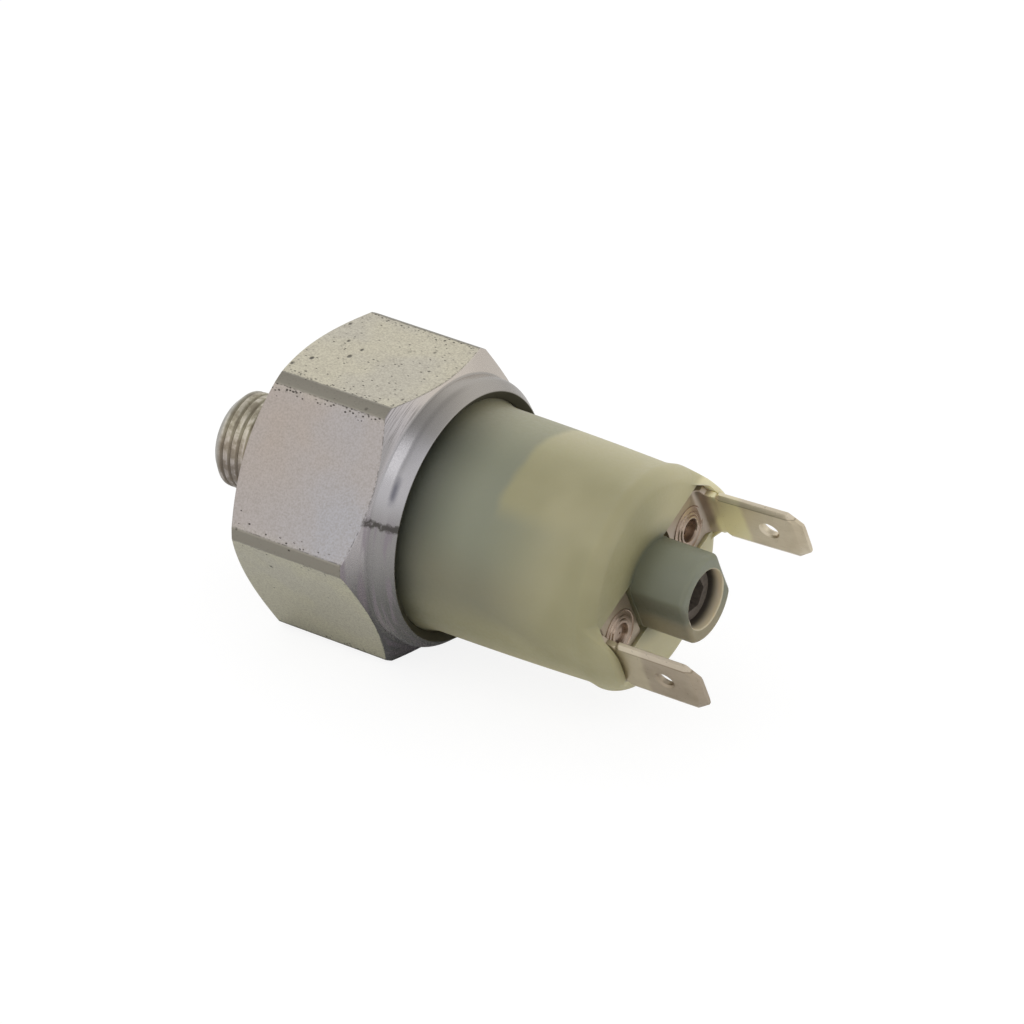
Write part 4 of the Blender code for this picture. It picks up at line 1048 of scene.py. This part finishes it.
def boss_tints(n, base, angle, radius, station):
    """Lays the boss's tints over the nylon: painted light on its top, painted shade low down, at its foot
    and on the land round it, a painted lit mouth and painted shade deeper in the bore.
    """
    # Painted light on the boss's top
    tint = n.mix(n.step(angle, 95.0, 150.0, 0.6, 0.0), BOSS_TINT, BOSS_LIT_TOP)
    tint = n.mix(band(n, angle, 186.0, 4.0, 24.0), tint, BOSS_SHADE)
    tint = n.mix(rise(n, angle, 196.0, 226.0), tint, BOSS_UNDER)
    # Painted shade at the boss's foot
    tint = n.mix(n.step(station, LAND_X, LAND_X + 2.5 * MM, 0.55, 0.0), tint, BOSS_FOOT_SHADE)
    # Painted shade on the land round the boss
    around = n.step(radius, BOSS_R, BOSS_R + 2.4 * MM, 0.55, 0.0)
    base = n.mix(n.times(n.step(station, LAND_X - MM, LAND_X - 0.2 * MM), around), base, BOSS_FOOT_SHADE)
    on_boss = n.step(station, LAND_X - 0.2 * MM, LAND_X - 0.02 * MM)
    on_boss = n.times(on_boss, n.step(radius, BOSS_R + 0.14 * MM, BOSS_R + 0.8 * MM, 1.0, 0.0), 0.92)
    base = n.mix(on_boss, base, tint)
    # Painted light on the bore's wall at the mouth, painted shade deeper in
    mouth = n.step(radius, BORE_R + 0.02 * MM, BORE_R + 0.14 * MM, 1.0, 0.0)
    depth = n.minus(MOUTH_X, station)
    wall = n.mix(n.step(depth, 0.30 * MM, 1.35 * MM), BORE_LIT, BORE_SHADE)
    return n.mix(n.times(mouth, n.step(depth, 4.0 * MM, 5.0 * MM, 1.0, 0.0)), base, wall)


def nylon_material():
    """Olive nylon: a painted shadow in dark grey-green where the steel cup lies under it, pale yellow-green
    beyond.
    """
    n = Nodes(bpy.data.materials.new("olive_nylon"))
    angle, radius, station = n.polar()
    base = boss_tints(n, barrel_tints(n, angle, station), angle, radius, station)
    fine = n.noise(2600.0, 3.0, 0.6)
    n.fill(n.surface, {"Subsurface Weight": 0.35, "Subsurface Radius": [1.4, 1.2, 0.7]})
    n.fill(n.surface, {"Subsurface Scale": 1.0 * MM, "IOR": 1.50})
    return n.finish(base, n.step(fine, 0.3, 0.7, 0.42, 0.54), 0.0, n.bump(fine, 0.012 * MM, 0.5))


def tin_material(name, pale, dark, green, plate=0.0, rough=0.30):
    """Dull tin over brass with fine scratches and soft brown patches, a painted reflection of the nylon on
    the root, painted shade on the plate, and a painted highlight on the coined edges with a painted dark
    line inside it.
    """
    n = Nodes(bpy.data.materials.new(name))
    station = n.polar()[2]
    patch = n.noise(300.0, 3.0)
    base = n.mix(n.step(patch, 0.35, 0.75, 0.0, 0.6), pale, dark)
    lines = n.noise(1.0, 3.0, 0.6, n.scaled(900.0, 9000.0, 9000.0))
    base = n.mix(n.step(lines, 0.45, 0.75, 0.0, 0.25), base, dark)
    above = n.minus(n.math("MULTIPLY_ADD", patch, 1.2 * MM, station), PLATE_TOP_X)
    # Painted reflection of the nylon, greener, on the root
    root = n.times(n.step(above, 1.4 * MM, 2.4 * MM), n.step(above, 5.0 * MM, 5.7 * MM, green, 0.0))
    base = n.mix(root, base, TIN_NYLON_REFLECTION)
    # Painted shade on the plate
    base = n.mix(n.step(above, 1.4 * MM, 2.4 * MM, plate, 0.0), base, TIN_PLATE_SHADE)
    y, z = n.axes()[1:]
    across = n.times(n.minus(z, HALF_FLATS), math.cos(TURN))
    across = n.math("ABSOLUTE", n.math("MULTIPLY_ADD", y, -math.sin(TURN), across))
    past_flat = n.minus(across, BLADE_WIDTH / 2 - EDGE_COIN)
    neck_x = PLATE_TOP_X + NECK_LENGTH
    on_blade = n.times(n.step(station, neck_x, neck_x + 0.4 * MM), 0.5)
    # Painted highlight on the coined edges, and a painted dark line inside it
    base = n.mix(n.times(n.step(past_flat, 0.0, 0.08 * MM), on_blade), base, TIN_EDGE_HIGHLIGHT)
    line = band(n, past_flat, -0.05 * MM, 0.01 * MM, 0.07 * MM)
    base = n.mix(n.times(line, on_blade), base, TIN_EDGE_LINE_SHADE)
    base = n.mix(n.step(n.noise(4200.0, 2.0), 0.66, 0.74, 0.0, 0.35), base, TIN_SPECK)
    normal = n.bump(n.plus(lines, n.times(patch, 1.5)), 0.010 * MM, 0.5)
    return n.finish(base, n.step(patch, 0.3, 0.7, rough, rough + 0.10), TIN_METALLIC, normal)


def plain_material(name, tint, rough, metallic, scale, depth):
    """A plain finish with fine grain in its colour, gloss and surface."""
    n = Nodes(bpy.data.materials.new(name))
    grain = n.noise(scale, 4.0, 0.6)
    darker = [c * 0.72 for c in colour(tint)[:3]] + [1.0]
    base = n.mix(n.step(grain, 0.4, 0.7), tint, darker)
    rough = n.step(grain, 0.3, 0.7, rough, rough + 0.12)
    return n.finish(base, rough, metallic, n.bump(grain, depth, 0.6))


def build_materials():
    materials = {
        "zinc": zinc_material(),
        "thread": thread_material(),
        "nylon": nylon_material(),
        # Lit and shaded copies of one tin: the upper blade painted lighter, the lower darker
        "tin_upper": tin_material("tin_upper", TIN_LIT_UPPER, TIN_LIT_UPPER_DARK, green=0.9, plate=0.9),
        "tin_lower": tin_material("tin_lower", TIN_SHADED_LOWER, TIN_SHADED_LOWER_DARK, green=0.2),
        "rivet": tin_material("rivet_brass", RIVET_PALE, RIVET_DARK, green=0.7, rough=0.22),
    }
    for key, (name, *finish) in PLAIN_FINISHES.items():
        materials[key] = plain_material(name, *finish)
    return materials


# Plain finishes: name, tint, roughness, metallic, and the grain's scale and depth
PLAIN_FINISHES = {
    "black": ("black_oxide", (92, 84, 76), 0.60, 0.0, 3000.0, 0.02 * MM),
    "steel": ("plain_steel", (176, 176, 174), 0.28, 1.0, 2500.0, 0.01 * MM),
    "dull": ("dull_steel", (96, 96, 90), 0.45, 1.0, 2500.0, 0.01 * MM),
    "rubber": ("nitrile_rubber", (30, 30, 30), 0.70, 0.0, 3000.0, 0.01 * MM),
    "silver": ("silver_contact", (222, 220, 214), 0.22, 1.0, 3500.0, 0.01 * MM),
    "phenolic": ("phenolic_board", (112, 66, 36), 0.50, 0.0, 900.0, 0.02 * MM),
    "bronze": ("phosphor_bronze", (196, 150, 104), 0.30, 1.0, 2500.0, 0.01 * MM),
}

# The CAD nodes that still show, with their finishes
CARRIED_OVER = {
    "seal_ring": "rubber", "cap_gasket": "rubber", "diaphragm": "bronze", "contact_bridge": "bronze",
    "support_washer": "steel", "spring_seat": "steel", "guide_cup": "dull",
    "plunger": "phenolic", "insulating_washer": "phenolic", "moving_contact_upper": "silver",
    "moving_contact_lower": "silver", "fixed_contact_upper": "silver", "fixed_contact_lower": "silver",
    "adjusting_screw": "black",
}


def dress_cad(materials):
    """Gives each CAD node that still shows its finish."""
    for node, key in CARRIED_OVER.items():
        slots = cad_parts[node].data.materials
        if not slots:
            slots.append(None)
        for i in range(len(slots)):
            slots[i] = materials[key]


def blade_mesh(label, side, reach, lean, hole_back):
    """A terminal's strip with the hole in its blade and the hole for its rivet."""
    mesh = terminal_mesh("blade_" + label, side, reach, lean)
    hole_x = PLATE_TOP_X + reach - hole_back
    hole_u = BLADE_OUTER_U - SHEET_THICK / 2 + lean * (hole_x - PLATE_TOP_X - BLADE_BEND_R)
    middle = Vector(side_point(side, hole_u, 0.0, hole_x))
    outward = Vector(side_point(side, 1.0, 0.0, 0.0)) - Vector(side_point(side, 0.0, 0.0, 0.0))
    mesh = cut_round(mesh, middle, outward, BLADE_HOLE_R, BLADE_HOLE_R + BLADE_HOLE_EASE, SHEET_THICK / 2)
    middle = Vector(side_point(side, RIVET_U, 0.0, PLATE_TOP_X - SHEET_THICK / 2))
    mesh = cut_round(mesh, middle, (1.0, 0.0, 0.0), RIVET_HOLE_R, RIVET_HOLE_R, SHEET_THICK / 2)
    return tidy(mesh, 30.0)


def build_pieces(materials):
    show("hexagon_shell", body_mesh(), materials["zinc"], "body")
    show("stud_thread", stud_mesh(), materials["thread"], "body")
    steps = [(channel_mesh(), "DIFFERENCE"), (boss_mesh(), "UNION")]
    moulding = tidy(join_meshes("cap_moulding", barrel_mesh(), steps), 35.0)
    show("cap_moulding", moulding, materials["nylon"], "cap")
    for label, side, *sizes in BLADES:
        mesh = blade_mesh(label, side, *sizes)
        show("blade_" + label, mesh, materials["tin_" + label], "terminal_" + label)
    for label, side, *sizes in RIVETS:
        mesh = rivet_mesh("rivet_head_" + label, rivet_rows(*sizes), side * RIVET_U)
        show("rivet_head_" + label, mesh, materials["rivet"], "rivet_" + label)
    build_spring(materials["steel"])


def build_stage():
    """A large pale floor that shows white, keeps the soft shadow and looks greyer in reflections."""
    signs = ((-1, -1), (1, -1), (1, 1), (-1, 1))
    mesh = new_mesh("floor", [(FLOOR_HALF * x, FLOOR_HALF * y, 0.0) for x, y in signs], [(0, 1, 2, 3)])
    n = Nodes(bpy.data.materials.new("pale_floor"))
    path = n.node("LightPath").outputs
    shade = n.mix(path["Is Glossy Ray"], grey(FLOOR_SHADE), grey(FLOOR_GLOSS_SHADE))
    n.fill(n.surface, {"Base Color": shade, "Roughness": 0.9, "Specular IOR Level": 0.1})
    glow = n.fill(n.node("Emission"), {"Strength": FLOOR_GLOW_STRENGTH})
    share = n.times(path["Is Camera Ray"], FLOOR_GLOW)
    both = n.node("MixShader", share, n.surface.outputs[0], glow.outputs[0])
    n.put(n.tree.nodes["Material Output"].inputs["Surface"], both.outputs[0])
    add_object("floor", mesh, n.owner)


def build_world():
    """White to the camera; a studio that is brightest at the sides lights the object."""
    world = bpy.data.worlds.new("studio")
    bpy.context.scene.world = world
    n = Nodes(world)
    path = n.node("LightPath").outputs
    upward = n.axes(n.node("TexCoord").outputs["Generated"])["Z"]
    ramp = n.node("ValToRGB", n.node("MapRange", upward, -1.0).outputs[0])
    ramp.color_ramp.interpolation = "EASE"
    while len(ramp.color_ramp.elements) < len(SKY):
        ramp.color_ramp.elements.new(0.5)
    for element, (direction, strength) in zip(ramp.color_ramp.elements, SKY):
        element.position = (direction + 1) / 2
        element.color = grey(strength)
    in_gloss = n.mix(path["Is Glossy Ray"], grey(AMBIENT), ramp.outputs[0])
    in_view = n.mix(path["Is Camera Ray"], in_gloss, grey(1.0))
    n.put(n.tree.nodes["Background"].inputs["Color"], in_view)


def build_light():
    """One large soft lamp above and behind the camera's left."""
    light = bpy.data.lights.new("key", "AREA")
    light.size = KEY_SIZE
    light.energy = KEY_POWER
    lamp = new_object("key", light)
    lamp.location = KEY_PLACE
    lamp.rotation_euler = (Vector(TARGET) - Vector(KEY_PLACE)).to_track_quat("-Z", "Y").to_euler()


def build_camera():
    """The camera at the photograph's viewing angle, with its slight roll."""
    azimuth, elevation, roll = (math.radians(a) for a in (AZIMUTH_DEG, ELEVATION_DEG, ROLL_DEG))
    level = Vector((math.sin(azimuth), -math.cos(azimuth), 0.0))
    back = level * math.cos(elevation) + Vector((0.0, 0.0, math.sin(elevation)))
    right = Vector((math.cos(azimuth), math.sin(azimuth), 0.0))
    up = back.cross(right)
    turned_right = right * math.cos(roll) + up * math.sin(roll)
    turned_up = up * math.cos(roll) - right * math.sin(roll)
    data = bpy.data.cameras.new("camera")
    data.lens = LENS
    data.sensor_width = SENSOR
    data.clip_start = 0.01
    data.clip_end = 20.0
    camera = new_object("camera", data)
    turn = Matrix((turned_right, turned_up, back)).transposed().to_4x4()
    camera.matrix_world = Matrix.Translation(Vector(TARGET) + back * DISTANCE) @ turn
    bpy.context.scene.camera = camera


build_camera()
build_stage()
build_world()
build_light()
MATERIALS = build_materials()
build_pieces(MATERIALS)
dress_cad(MATERIALS)
bpy.context.scene.view_settings.view_transform = "Standard"
